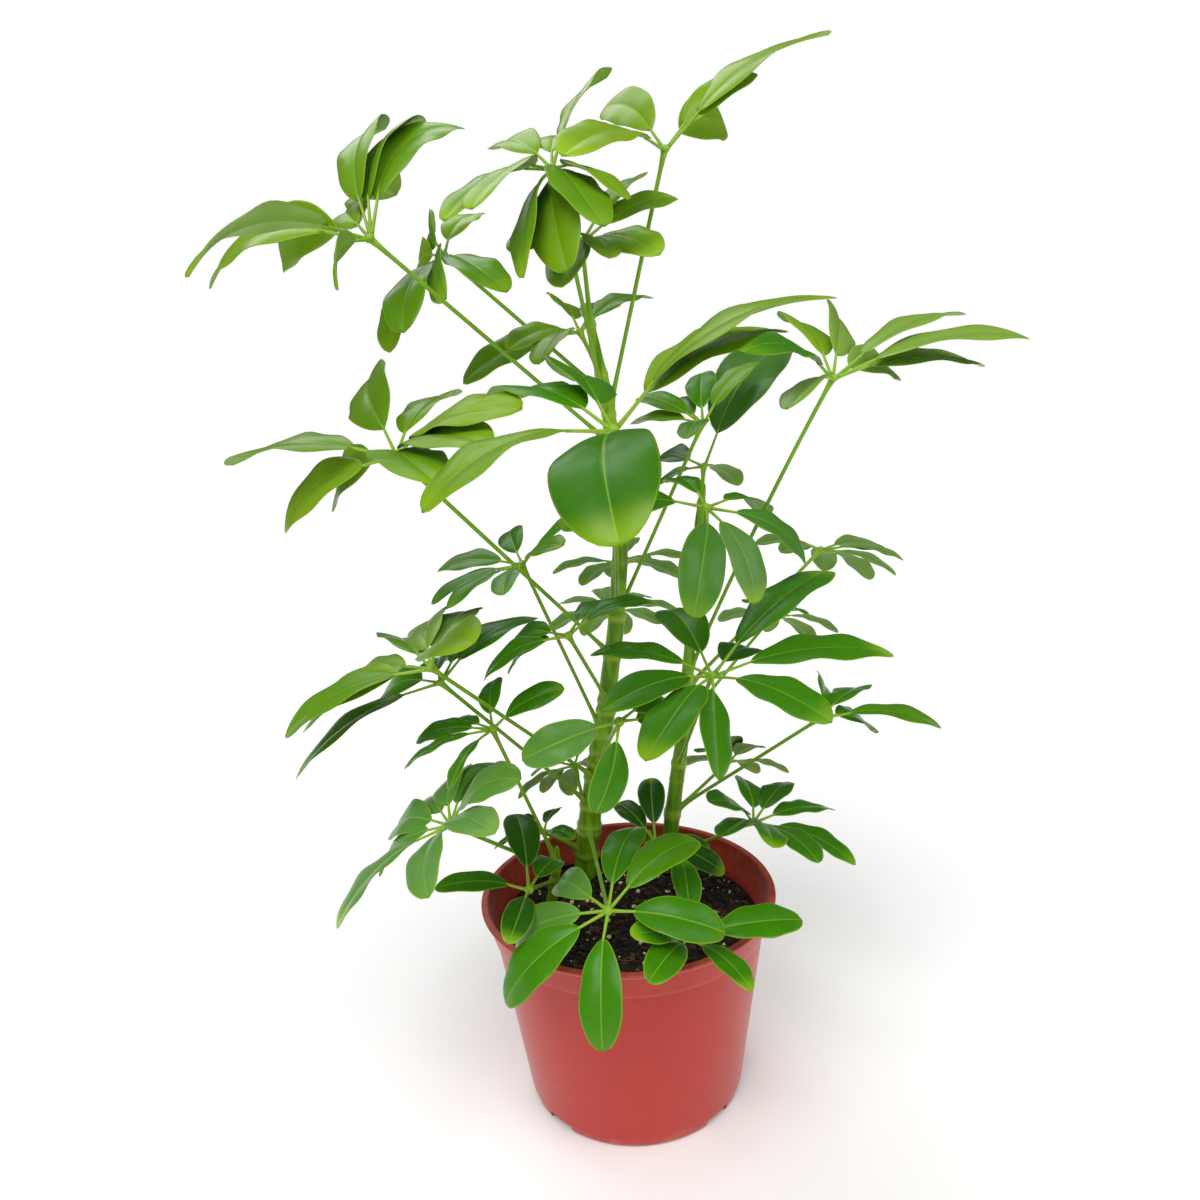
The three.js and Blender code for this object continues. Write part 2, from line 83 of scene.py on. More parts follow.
# The leaves, in millimetres and degrees. joint: height on the stem where the petiole leaves
# it. hub: where the leaflets meet. crown: the bearing that the spread of leaflets leans to
# and how far it tips. droop: how far a blade bends down. tone: 0 dark green, 1 young green;
# a high tone also paints the backlit glow of leaf_right and of the top leaves.
# leaflets: (bearing, length, lift above the crown's plane, roll about the midrib).
# A leaf's painted glow: how much lighter some leaflets look, by their bearings, a painted
# backlit glow; below 0 they look darker.
# A leaf's painted sheen: how much pale sheen, painted for the sky's reflection, lies on some
# leaflets, by their bearings.
LEAVES = (
    dict(name="leaf_top_left", stem="main", joint=340, hub=(-95, -35, 433),
         crown=(210, 40), droop=65, width=0.3, tone=0.88,
         leaflets=((54, 88, 30, 30), (66, 88, 38), (78, 90, 45), (90, 85, 28), (108, 68, 30),
                   (138, 88, 35, -52), (164, 94, 44, -10), (-115, 96, 47), (-102, 48, 20, 35))),
    dict(name="leaf_upper_left", stem="main", joint=364, hub=(-75, 32, 436),
         crown=(215, 45), droop=46, tone=0.8,
         leaflets=((75, 54, 10, 30), (104, 60, 19, -40), (128, 60, 7, -30), (-124, 64, 12, -10),
                   (-103, 70, 18, -15), (-82, 62, 16, 30), (-62, 68, 2, -40))),
    dict(name="leaf_crown", stem="main", joint=350, hub=(-17, -25, 459),
         crown=(245, 33), droop=42, width=0.3, tone=0.85,
         leaflets=((66, 76, 26, -30), (88, 66, 9), (114, 70, 15), (-126, 70, 24, 5),
                   (-112, 72, 27, 10), (-101, 78, 6, 40), (-88, 80, 5, 25), (-74, 74, 12, -30),
                   (-60, 62, 12, -35))),
    dict(name="leaf_top_right", stem="main", joint=355, hub=(34, 10, 473),
         crown=(280, 28), droop=40, width=0.3, tone=1.0,
         leaflets=((32, 104, 40, -15), (42, 66, 40, 5), (62, 82, 13, 50), (112, 74, 18, -40),
                   (-124, 86, 24, -5))),
    dict(name="leaf_top_front", stem="main", joint=396, hub=(-6, -18, 430),
         crown=(277, 30), droop=38, tone=0.75,
         leaflets=((38, 57, 24), (60, 60, 28, -25), (-125, 52, 27), (-98, 59, 18, 25),
                   (-78, 52, 28, -15), (-56, 57, 27, 10))),
    dict(name="leaf_under_crown", stem="main", joint=374, hub=(-10, 30, 396),
         crown=(254, 26), droop=45, tone=0.75,
         leaflets=((50, 60, 13), (72, 58, 8), (102, 58, 14, 40), (-167, 66, 8, -15),
                   (-133, 50, 30, -15), (-108, 58, 26, 15))),
    dict(name="leaf_front", stem="main", joint=258, hub=(3, -115, 350),
         crown=(232, 24), droop=56, width=0.42, tone=0.45,
         painted_glow={8: 0.45, 26: 0.45, -151: 0.3, 126: 0.2, -91: -0.1},
         leaflets=((8, 92, 34, -10), (26, 80, 26), (103, 74, 23, 45), (126, 76, 25, 20),
                   (-151, 78, 26, 5), (-91, 84, 19))),
    dict(name="leaf_left", stem="main", joint=228, hub=(-87, -60, 343),
         crown=(217, 36), droop=42, tone=0.88,
         leaflets=((79, 72, 8, 10), (103, 84, 28, -15), (146, 76, 2, -30), (160, 90, 34, 20),
                   (173, 72, 12, -19), (-62, 77, 20, -35), (-44, 76, 18, -17), (-28, 77, 18, -8))),
    dict(name="leaf_right", stem="second", joint=212, hub=(105, -15, 366),
         crown=(300, 20), droop=38, width=0.3, bow=0.05, tone=1.0,
         painted_glow={-134: -0.5},
         painted_sheen={6: 0.3, 20: 0.3, 36: 0.3, 52: 0.3, 77: 0.3, -121: 0.4},
         leaflets=((6, 94, 32, -4), (20, 86, 20), (36, 92, 32, -19), (52, 84, 8, 28),
                   (77, 84, 24, 45), (96, 84, 20, 15), (-134, 84, 29, -10), (-121, 62, 13, 30))),
    dict(name="leaf_small_fan", stem="main", joint=250, hub=(50, 30, 348),
         crown=(233, 22), droop=37, tone=0.65,
         leaflets=((41, 51, 31), (80, 49, 29), (110, 45, 17), (129, 49, 28), (148, 44, 18),
                   (-103, 46, 28))),
    dict(name="leaf_second_top", stem="second", joint=306, hub=(52, 50, 325),
         crown=(223, 30), droop=41, tone=0.35,
         painted_sheen={39: 0.22},
         leaflets=((39, 92, 34, 30), (119, 62, 6), (62, 42, -35), (155, 36, 2))),
    dict(name="leaf_second_front", stem="second", joint=236, hub=(46, -15, 310),
         crown=(300, 35), droop=58, width=0.32, tone=0.45,
         painted_sheen={-67: 0.45, -97: 0.2, -6: 0.15},
         leaflets=((106, 46, 0, -10), (-172, 74, 6), (-97, 66, 7), (-67, 58, 10), (-6, 62, 6),
                   (40, 60, 0, -20))),
    dict(name="leaf_left_thin", stem="main", joint=182, hub=(-46, 20, 282),
         crown=(208, 31), droop=38, tone=0.55,
         painted_sheen={158: 0.3, -166: 0.2, -93: 0.35},
         leaflets=((101, 48, 20), (158, 53, 30), (-166, 52, 25), (-140, 48, 26), (-93, 46, 24),
                   (-46, 49, 28), (-4, 50, 24))),
    dict(name="leaf_mid_left", stem="main", joint=202, hub=(-22, -25, 254),
         crown=(223, 28), droop=51, tone=0.42,
         leaflets=((30, 49, 5), (62, 46, 2), (146, 48, 8), (162, 47, -2), (178, 52, 10))),
    dict(name="leaf_left_low", stem="main", joint=155, hub=(-84, -45, 247),
         crown=(190, 32), droop=42, tone=0.85,
         painted_sheen={82: 0.4, 97: 0.3, 146: 0.3},
         leaflets=((82, 74, 14, 20), (97, 74, 20), (115, 76, 22, 45), (146, 75, 21),
                   (167, 82, 20, -10), (-177, 78, 26, -10), (-53, 75, 26))),
    dict(name="leaf_left_behind", stem="main", joint=138, hub=(-88, -8, 229),
         crown=(187, 24), droop=43, tone=0.62,
         leaflets=((43, 70, 15, 15), (67, 70, 15), (138, 69, 12, -20), (-157, 84, 14),
                   (100, 66, 12))),
    dict(name="leaf_left_small", stem="left", joint=124, hub=(-63, -15, 206),
         crown=(213, 29), droop=42, tone=0.5,
         leaflets=((2, 44, 22, 20), (92, 43, 20), (140, 44, 12, 25), (166, 46, 23),
                   (-167, 49, 23, 15), (-113, 44, 20, 15))),
    dict(name="leaf_low_left", stem="left", joint=118, hub=(-80, -55, 175),
         crown=(183, 34), droop=50, tone=0.6,
         painted_sheen={70: 0.3, 90: 0.4, 111: 0.3, 138: 0.3, 160: 0.3, -153: 0.45, -90: 0.4,
               -54: 0.45, -26: 0.3},
         leaflets=((70, 58, 14, 25), (90, 60, 20), (111, 60, 19), (138, 60, 21, -15),
                   (160, 58, 13, -10), (-153, 67, 20), (-90, 60, 18), (-54, 59, 20, -15),
                   (-26, 57, 26, 15))),
    dict(name="leaf_rim_left", stem="left", joint=110, hub=(-47, -45, 135),
         crown=(330, 15), droop=44, tone=0.28,
         leaflets=((72, 42, 5), (104, 53, 27), (-171, 46, 15), (-99, 43, 20))),
    dict(name="leaf_rim_front", stem="main", joint=122, hub=(-9, -80, 143),
         crown=(240, 35), droop=54, tone=0.52,
         painted_sheen={135: 0.3, 176: 0.25},
         leaflets=((41, 58, 5), (78, 56, 3), (135, 52, -5), (176, 56, 3), (-154, 64, 8),
                   (-100, 58, 5), (-15, 54, 5))),
    dict(name="leaf_rim_right", stem="second", joint=108, hub=(27, -70, 122),
         crown=(318, 24), droop=36, tone=0.42,
         leaflets=((8, 54, 32), (94, 42, 25), (-150, 42, 37), (-124, 46, 27), (-60, 42, 32))),
    dict(name="leaf_front_low", stem="main", joint=165, hub=(0, -70, 226),
         crown=(303, 50), droop=56, width=0.38, tone=0.56,
         painted_sheen={-157: 0.3},
         leaflets=((18, 40, -8), (42, 42, 0), (-157, 47, 0), (-100, 42, 0))),
    dict(name="leaf_middle_right", stem="second", joint=160, hub=(43, -45, 237),
         crown=(273, 19), droop=43, tone=0.42,
         leaflets=((0, 84, 23, -10), (40, 87, 33, -20), (60, 64, -5), (104, 68, 14),
                   (152, 64, 12, 10), (-149, 61, 22), (-120, 69, 18, 15), (-94, 60, 6, -45),
                   (-42, 62, 20))),
    dict(name="leaf_right_low", stem="second", joint=130, hub=(108, 20, 191),
         crown=(353, 21), droop=41, tone=0.55,
         leaflets=((2, 67, 29), (40, 59, 6, 10), (57, 62, 24, -30), (76, 59, 18, 40))),
    dict(name="leaf_rim_far_right", stem="second", joint=101, hub=(67, -5, 145),
         crown=(356, 26), droop=37, tone=0.35,
         leaflets=((28, 54, 30, -15), (64, 52, 27, -30), (90, 48, 18), (-140, 50, 31),
                   (-122, 52, 20, 30), (-95, 50, 28), (-64, 50, 27, 15), (-27, 55, 24, 10))),
    dict(name="leaf_soil_middle", stem="middle", joint=114, hub=(16, 12, 128),
         crown=(272, 29), droop=47, tone=0.1,
         leaflets=((-2, 32, 5), (90, 44, 19), (122, 39, 7), (-28, 42, 13))),
    dict(name="leaf_back_right", stem="second", joint=205, hub=(117, 60, 275),
         crown=(41, 28), droop=43, tone=0.5,
         leaflets=((111, 45, 18), (138, 45, 15), (-57, 45, 19), (-30, 47, 20), (0, 45, 15),
                   (38, 48, 15), (75, 46, 15))),
    dict(name="leaf_back_far_right", stem="second", joint=184, hub=(97, 100, 229),
         crown=(58, 30), droop=45, tone=0.35,
         leaflets=((87, 39, 15), (-123, 39, 11), (-96, 40, 20), (-69, 39, 11), (0, 42, 15),
                   (42, 45, 12), (138, 42, 12))),
    dict(name="leaf_back", stem="main", joint=196, hub=(6, 80, 270),
         crown=(92, 24), droop=43, tone=0.42,
         leaflets=((36, 47, 10), (66, 44, 26), (98, 44, 19), (124, 46, 12), (-84, 45, 18),
                   (0, 44, 15), (165, 44, 15))),
    dict(name="leaf_back_low", stem="main", joint=172, hub=(-2, 95, 238),
         crown=(92, 31), droop=45, tone=0.36,
         leaflets=((38, 41, 14), (-137, 41, 14), (-97, 41, 18), (-53, 40, 12), (0, 42, 15),
                   (78, 44, 14), (115, 44, 14), (155, 44, 12))),
    dict(name="leaf_back_left", stem="main", joint=126, hub=(-28, 66, 152),
         crown=(123, 40), droop=45, tone=0.12,
         leaflets=((62, 42, 15), (100, 44, 7), (126, 41, 16), (-128, 41, 12), (-99, 44, 21),
                   (-69, 42, 15), (160, 42, 14))),
    dict(name="leaf_soil_left", stem="main", joint=108, hub=(-46, 34, 126),
         crown=(175, 18), droop=43, tone=0.15,
         leaflets=((76, 31, 14), (128, 33, 22), (-107, 31, 23), (-51, 32, 16), (175, 32, 15))),
    dict(name="leaf_soil_right", stem="second", joint=128, hub=(64, 70, 148),
         crown=(73, 33), droop=42, tone=0.12,
         leaflets=((57, 40, 17), (95, 40, 19), (-122, 40, 12), (-95, 42, 26), (-68, 41, 21),
                   (15, 40, 15), (132, 40, 15))),
)

STALK = 0.2             # leafstalk's share of a leaflet's length
HUB_RADIUS = 2.3
BLADE_WIDTH = 0.34      # of a leaflet's length, unless the leaf says otherwise
NOTCH_PAIR_BEARINGS = (-34, 90, 214)
NOTCH_SPREAD = 24.5


# ---------------------------------------------------------------- sizes and colours

def length_setting(name, description, default):
    """A length, in metres."""
    return bpy.props.FloatProperty(
        name=name, description=description, default=default, unit="LENGTH")


def number_setting(name, description, default):
    """A share or a strength."""
    return bpy.props.FloatProperty(name=name, description=description, default=default)


def angle_setting(name, description, degrees):
    """An angle, given in degrees."""
    return bpy.props.FloatProperty(
        name=name, description=description, default=math.radians(degrees), subtype="ANGLE",
        unit="ROTATION")


def count_setting(name, description, default):
    """How many loose pieces there are."""
    return bpy.props.IntProperty(name=name, description=description, default=default, min=0)


def colour_setting(name, description, default):
    """A colour, in linear red, green and blue."""
    return bpy.props.FloatVectorProperty(
        name=name, description=description, default=default, subtype="COLOR", size=3)


class PotSizes(bpy.types.PropertyGroup):
    """The nursery pot's own sizes and its plastic."""

    wall: length_setting("Wall", "Thickness of the moulded wall", 0.0015)
    lip: length_setting("Lip", "Height of the rolled lip's edge", 0.0022)
    collar: length_setting("Collar", "Height of the collar", 0.015)
    base_radius: length_setting("Base radius", "Outside radius of the foot", 0.0575)
    floor: length_setting("Floor", "Height of the pot's floor inside", 0.0065)
    notch: length_setting("Notch", "Height of the drainage notches", 0.0044)
    plastic: colour_setting("Plastic", "Terracotta-red plastic", (0.47, 0.034, 0.023))
    # Also paints the glint along the collar's step.
    scuff_and_glint: colour_setting("Scuff", "Pale scuffed plastic on the edges", (0.66, 0.22, 0.16))


class SoilSizes(bpy.types.PropertyGroup):
    """The potting mix: its relief and the loose bits that lie on it."""

    relief: length_setting("Relief", "Height of the lumps", 0.0028)
    crumbs: count_setting("Crumbs", "Loose crumbs of peat", 1700)
    chips: count_setting("Bark chips", "Slivers of bark", 430)
    grains: count_setting("Perlite grains", "White grains of perlite", 230)
    fibres: count_setting("Fibres", "Fine root fibres", 70)
    peat: colour_setting("Peat", "Damp peat", (0.008, 0.004, 0.003))
    bark: colour_setting("Bark", "Bark chips", (0.11, 0.042, 0.016))
    perlite: colour_setting("Perlite", "Perlite grains", (0.88, 0.76, 0.56))


class StemSizes(bpy.types.PropertyGroup):
    """The green stems and petioles."""

    scar_swell: number_setting(
        "Scar swelling", "Swelling of a leaf-scar ring, of the radius", 0.16)
    petiole_radius: length_setting("Petiole", "Radius of a petiole", 0.00098)
    sheath_radius: length_setting("Sheath", "Radius of a petiole's clasping foot", 0.0026)
    green: colour_setting("Bark green", "Green bark of the stems", (0.21, 0.45, 0.012))
    pale: colour_setting("Scar", "Pale leaf scars and nodes", (0.36, 0.54, 0.05))
    petiole: colour_setting("Petiole green", "Petioles, hubs and leafstalks", (0.21, 0.42, 0.008))


class LeafSizes(bpy.types.PropertyGroup):
    """The leaflets' blades."""

    thickness: length_setting("Thickness", "Blade's thickness beside the midrib", 0.0006)
    fold: number_setting("Fold", "How far the halves fold up along the midrib", 0.26)
    curl: number_setting("Curl", "How far the margins curl back down", 0.2)
    wave: number_setting("Wave", "Height of the margins' waves, of the half width", 0.07)
    dark: colour_setting("Old green", "Old, shaded blades", (0.012, 0.062, 0.005))
    green: colour_setting("Full green", "Grown blades", (0.048, 0.212, 0.002))
    young: colour_setting("Young green", "Young yellow-green blades", (0.20, 0.35, 0.010))
    # The paler underside is partly its own colour and partly a painted backlit glow.
    paler: number_setting("Paler underside", "How much paler the underside is", 0.55)
    midrib: colour_setting("Midrib", "Pale midrib and side veins", (0.22, 0.46, 0.03))
    # The margin colour also paints a rim highlight on the margins and a translucent glow on the
    # tips.
    margin: colour_setting("Margin", "Yellow-green margin and tip", (0.30, 0.50, 0.012))
    # Pale painted sheen that stands for the sky's reflection on some blades.
    painted_sheen: colour_setting("Film", "Pale waxy film on some blades", (0.23, 0.39, 0.15))


class StageSizes(bpy.types.PropertyGroup):
    """The floor and the studio light."""

    floor: length_setting("Floor", "Width of the floor", 60.0)
    key: number_setting("Key light", "Strength of the wide main light", 2.0)
    fill: number_setting("Fill light", "Strength of the wide side lights", 0.8)
    softness: angle_setting("Softness", "Angle that each light spans", 38)
    sky: number_setting("Sky", "Strength of the white surroundings", 0.4)


# ---------------------------------------------------------------- mesh helpers

def plant_object(name, bm, materials):
    """Turns a finished bmesh into a smooth object with its materials."""
    mesh = bpy.data.meshes.new(name)
    bm.to_mesh(mesh)
    bm.free()
    mesh.polygons.foreach_set("use_smooth", [True] * len(mesh.polygons))
    for material in materials:
        mesh.materials.append(material)
    obj = bpy.data.objects.new(name, mesh)
    bpy.context.scene.collection.objects.link(obj)
    return obj


def stand_for(obj, node):
    """The piece rides on the plant and stands for one CAD node."""
    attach(obj, BODY)
    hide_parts(node)


def grow_tube(bm, path, sides, material=0):
    """Extrudes a ring along a path of (point, direction, radius) and closes both ends."""
    point, direction, radius = path[0]
    turn = direction.to_track_quat("Z", "Y")
    ring = bmesh.ops.create_circle(bm, cap_ends=False, segments=sides, radius=1.0)["verts"]
    spokes = [vert.co.copy() for vert in ring]
    made = list(ring)
    ends = [ring_edges(ring)]
    for vert, spoke in zip(ring, spokes):
        vert.co = point + turn @ (spoke * radius)
    for point, following, radius in path[1:]:
        turn = direction.rotation_difference(following) @ turn
        direction = following
        grown = bmesh.ops.extrude_edge_only(bm, edges=ring_edges(ring))["geom"]
        fresh = {item for item in grown if isinstance(item, bmesh.types.BMVert)}
        ring = [next(edge.other_vert(vert) for edge in vert.link_edges
                     if edge.other_vert(vert) in fresh) for vert in ring]
        for vert, spoke in zip(ring, spokes):
            vert.co = point + turn @ (spoke * radius)
        made += ring
    ends.append(ring_edges(ring))
    bmesh.ops.holes_fill(bm, edges=ends[0] + ends[1], sides=sides)
    skin = list({face for vert in made for face in vert.link_faces})
    bmesh.ops.recalc_face_normals(bm, faces=skin)
    for face in skin:
        face.material_index = material
    return made


def turn_profile(profile, steps):
    """A closed body of revolution from (radius, height) pairs that start and end on the axis."""
    bm = bmesh.new()
    line = [bm.verts.new((radius, 0, height)) for radius, height in profile]
    edges = [bm.edges.new(pair) for pair in zip(line, line[1:])]
    bmesh.ops.spin(bm, geom=line + edges, cent=(0, 0, 0), axis=(0, 0, 1), steps=steps,
                   angle=2 * math.pi, use_merge=True)
    bmesh.ops.remove_doubles(bm, verts=bm.verts, dist=1e-6)
    bmesh.ops.recalc_face_normals(bm, faces=bm.faces)
    return bm


def ring_edges(ring):
    """The edges between neighbours of a ring of vertices."""
    return [next(edge for edge in vert.link_edges if edge.other_vert(vert) is ring[i - 1])
            for i, vert in enumerate(ring)]


def noted(bm, name):
    """The per-vertex note (three numbers) that a material reads by its name."""
    return bm.verts.layers.float_vector.get(name) or bm.verts.layers.float_vector.new(name)


# ---------------------------------------------------------------- shader helpers

def plug(tree, socket, value):
    """Links another node's output to a socket, or sets the socket's own value."""
    if isinstance(value, bpy.types.NodeSocket):
        tree.links.new(value, socket)
    else:
        socket.default_value = value


def put(tree, kind, values=(), **settings):
    """Adds a shader node, sets it up and plugs its sockets."""
    made = tree.nodes.new(kind)
    made.location = (len(tree.nodes) % 9 * 190 - 900, len(tree.nodes) // 9 * -320 + 500)
    for key, value in settings.items():
        setattr(made, key, value)
    for key, value in dict(values).items():
        plug(tree, made.inputs[key], value)
    return made


def maths(tree, operation, first, second=0.0):
    """The result of one operation on two values."""
    return put(tree, "ShaderNodeMath", {0: first, 1: second}, operation=operation).outputs[0]


def times(tree, first, second):
    """The product of two values."""
    return maths(tree, "MULTIPLY", first, second)


def spread(tree, value, low, high, to_low=0.0, to_high=1.0):
    """Rescales a value between two limits, eased at both ends."""
    made = put(tree, "ShaderNodeMapRange", {
        "Value": value, "From Min": low, "From Max": high, "To Min": to_low, "To Max": to_high},
        interpolation_type="SMOOTHSTEP")
    return made.outputs["Result"]


def tint(colour):
    """A colour as a socket takes it, or another node's output unchanged."""
    return colour if isinstance(colour, bpy.types.NodeSocket) else (*colour, 1.0)


def shaded(colour, share):
    """A colour with each of its parts multiplied by a share."""
    return [share * part for part in colour]


def blend(tree, share, first, second, kind="MIX"):
    """Mixes two colours by a share."""
    return put(tree, "ShaderNodeMix", {0: share, 6: tint(first), 7: tint(second)},
               data_type="RGBA", blend_type=kind).outputs[2]


def coat(tree, body, mask, strength, colour):
    """Lays a colour over the body where a mask is, at a strength."""
    return blend(tree, times(tree, mask, strength), body, colour)


def grain(tree, place, scale, detail=3.0, rough=0.55):
    """Soft noise of a scale."""
    return put(tree, "ShaderNodeTexNoise", {
        "Vector": place, "Scale": scale, "Detail": detail, "Roughness": rough}).outputs[0]


def streaks(tree, place, squeeze, scale, detail, rough=0.55, turn=(0.0, 0.0, 0.0)):
    """Noise that is drawn out along the height when squeeze is below 1."""
    drawn = put(tree, "ShaderNodeMapping", {
        "Vector": place, "Scale": (1.0, 1.0, squeeze), "Rotation": turn})
    return grain(tree, drawn.outputs[0], scale, detail, rough)


def split(tree, vector):
    """The three parts of a vector."""
    return put(tree, "ShaderNodeSeparateXYZ", {0: vector}).outputs


def read_note(tree, name):
    """The three numbers that the vertices' note of this name holds."""
    return split(tree, put(tree, "ShaderNodeAttribute", attribute_name=name).outputs["Vector"])


def new_group(name, inputs, outputs):
    """A shader node group with named sockets; returns its tree, its inputs and its exit."""
    tree = bpy.data.node_groups.new(name, "ShaderNodeTree")
    for label, kind, value in inputs:
        socket = tree.interface.new_socket(label, in_out="INPUT", socket_type=kind)
        socket.default_value = value
    for label, kind in outputs:
        tree.interface.new_socket(label, in_out="OUTPUT", socket_type=kind)
    entry = tree.nodes.new("NodeGroupInput")
    return tree, entry.outputs, tree.nodes.new("NodeGroupOutput")


def close_group(tree, leave, values):
    """Links a group's results to its exit."""
    for key, value in values.items():
        tree.links.new(value, leave.inputs[key])


def use_group(tree, name, values):
    """Adds a node group, plugs its sockets and returns its results."""
    return put(tree, "ShaderNodeGroup", values, node_tree=bpy.data.node_groups[name]).outputs


def new_material(name):
    """A material with its Principled BSDF and its object coordinates."""
    material = bpy.data.materials.new(name)
    material.use_nodes = True
    tree = material.node_tree
    shader = tree.nodes["Principled BSDF"]
    place = put(tree, "ShaderNodeTexCoord").outputs["Object"]
    return material, tree, shader, place


def dress(tree, shader, colour, roughness, gloss, height, strength, distance):
    """Feeds a shader its colour, roughness and gloss, and bumps it by a height."""
    bump = put(tree, "ShaderNodeBump", {
        "Height": height, "Strength": strength, "Distance": distance})
    tree.links.new(colour, shader.inputs["Base Color"])
    tree.links.new(roughness, shader.inputs["Roughness"])
    tree.links.new(bump.outputs[0], shader.inputs["Normal"])
    shader.inputs["Specular IOR Level"].default_value = gloss


FLOAT = "NodeSocketFloat"
VECTOR = "NodeSocketVector"


def make_speckle_group():
    """Two sizes of soft grain, for mottled colour and fine relief."""
    tree, source, leave = new_group("Speckle", [
        ("Place", VECTOR, (0, 0, 0)), ("Coarse", FLOAT, 60.0), ("Fine", FLOAT, 900.0)],
        [("Clouds", FLOAT), ("Specks", FLOAT), ("Height", FLOAT)])
    clouds = grain(tree, source["Place"], source["Coarse"], 4.0)
    fine = grain(tree, source["Place"], source["Fine"], 2.0)
    height = maths(tree, "ADD", times(tree, clouds, 0.6), times(tree, fine, 0.4))
    close_group(tree, leave, {
        "Clouds": spread(tree, clouds, 0.32, 0.68), "Specks": spread(tree, fine, 0.62, 0.78),
        "Height": height})


VEINS_PER_BLADE = 8.0
VEIN_SLANT = 1.5
VEIN_WANDER = 0.35
RIB_INNER, RIB_OUTER = 0.00028, 0.00062         # half widths of the midrib's line
MARGIN_INNER, MARGIN_OUTER = 0.00025, 0.0008    # widths of the pale margin


def make_blade_group():
    """The pattern of a leaflet: midrib, side veins, margin, mottling, tip and blemishes.

    Across runs from -1 to 1 between the margins, Along from 0 at the foot to 1 at the tip.
    """
    tree, source, leave = new_group("Blade pattern", [
        ("Place", VECTOR, (0, 0, 0)), ("Across", FLOAT, 0.0), ("Along", FLOAT, 0.0),
        ("Half width", FLOAT, 0.01), ("Seed", FLOAT, 0.0)],
        [("Midrib", FLOAT), ("Veins", FLOAT), ("Margin", FLOAT), ("Mottle", FLOAT),
         ("Tip", FLOAT), ("Blemish", FLOAT), ("Height", FLOAT)])
    place, along, half_width = source["Place"], source["Along"], source["Half width"]
    aside = maths(tree, "ABSOLUTE", source["Across"])
    reach = times(tree, aside, half_width)
    slim = maths(tree, "SUBTRACT", 1.0, times(tree, along, 0.55))
    rib = spread(tree, maths(tree, "DIVIDE", reach, slim), RIB_INNER, RIB_OUTER, 1.0, 0.0)
    # Side veins leave the midrib at a slant and fade out towards the margin.
    slant = maths(tree, "SUBTRACT", times(tree, along, VEINS_PER_BLADE),
                  times(tree, aside, VEIN_SLANT))
    wander = maths(tree, "ADD", slant, times(tree, grain(tree, place, 130.0, 2.0), VEIN_WANDER))
    turn = maths(tree, "FRACT", maths(tree, "ADD", wander, source["Seed"]))
    phase = maths(tree, "ABSOLUTE", maths(tree, "SUBTRACT", turn, 0.5))
    vein = times(tree, spread(tree, phase, 0.0, 0.11, 1.0, 0.0),
                 spread(tree, aside, 0.55, 0.95, 1.0, 0.0))
    margin = spread(tree, maths(tree, "SUBTRACT", half_width, reach),
                    MARGIN_INNER, MARGIN_OUTER, 1.0, 0.0)
    blemish = times(tree, spread(tree, grain(tree, place, 210.0), 0.69, 0.74),
                    spread(tree, grain(tree, place, 24.0, 1.0), 0.52, 0.62))
    fine = times(tree, grain(tree, place, 380.0, 2.0), 0.5)
    close_group(tree, leave, {
        "Midrib": rib, "Veins": vein, "Margin": margin,
        "Mottle": spread(tree, grain(tree, place, 55.0, 4.0), 0.3, 0.7),
        "Tip": spread(tree, along, 0.74, 1.0), "Blemish": blemish,
        "Height": maths(tree, "SUBTRACT", fine, rib)})


# ---------------------------------------------------------------- materials

# The underside's green is brightened to paint a backlit glow as well.
UNDERSIDE_GLOW_GREEN = (0.29, 0.47, 0.10)
LEAF_SHADOW = (0.66, 0.74, 0.5)
BLEMISH_BROWN = (0.20, 0.13, 0.04)
CORK_GREEN = (0.30, 0.42, 0.05)
FOOT_BROWN = (0.13, 0.16, 0.04)
DUST = (0.62, 0.36, 0.28)
PALE_FLECK = (0.78, 0.62, 0.52)
DRIED_SPLASH = (0.10, 0.045, 0.03)
ROOT_BROWN, ROOT_PALE = (0.22, 0.12, 0.06), (0.38, 0.24, 0.13)


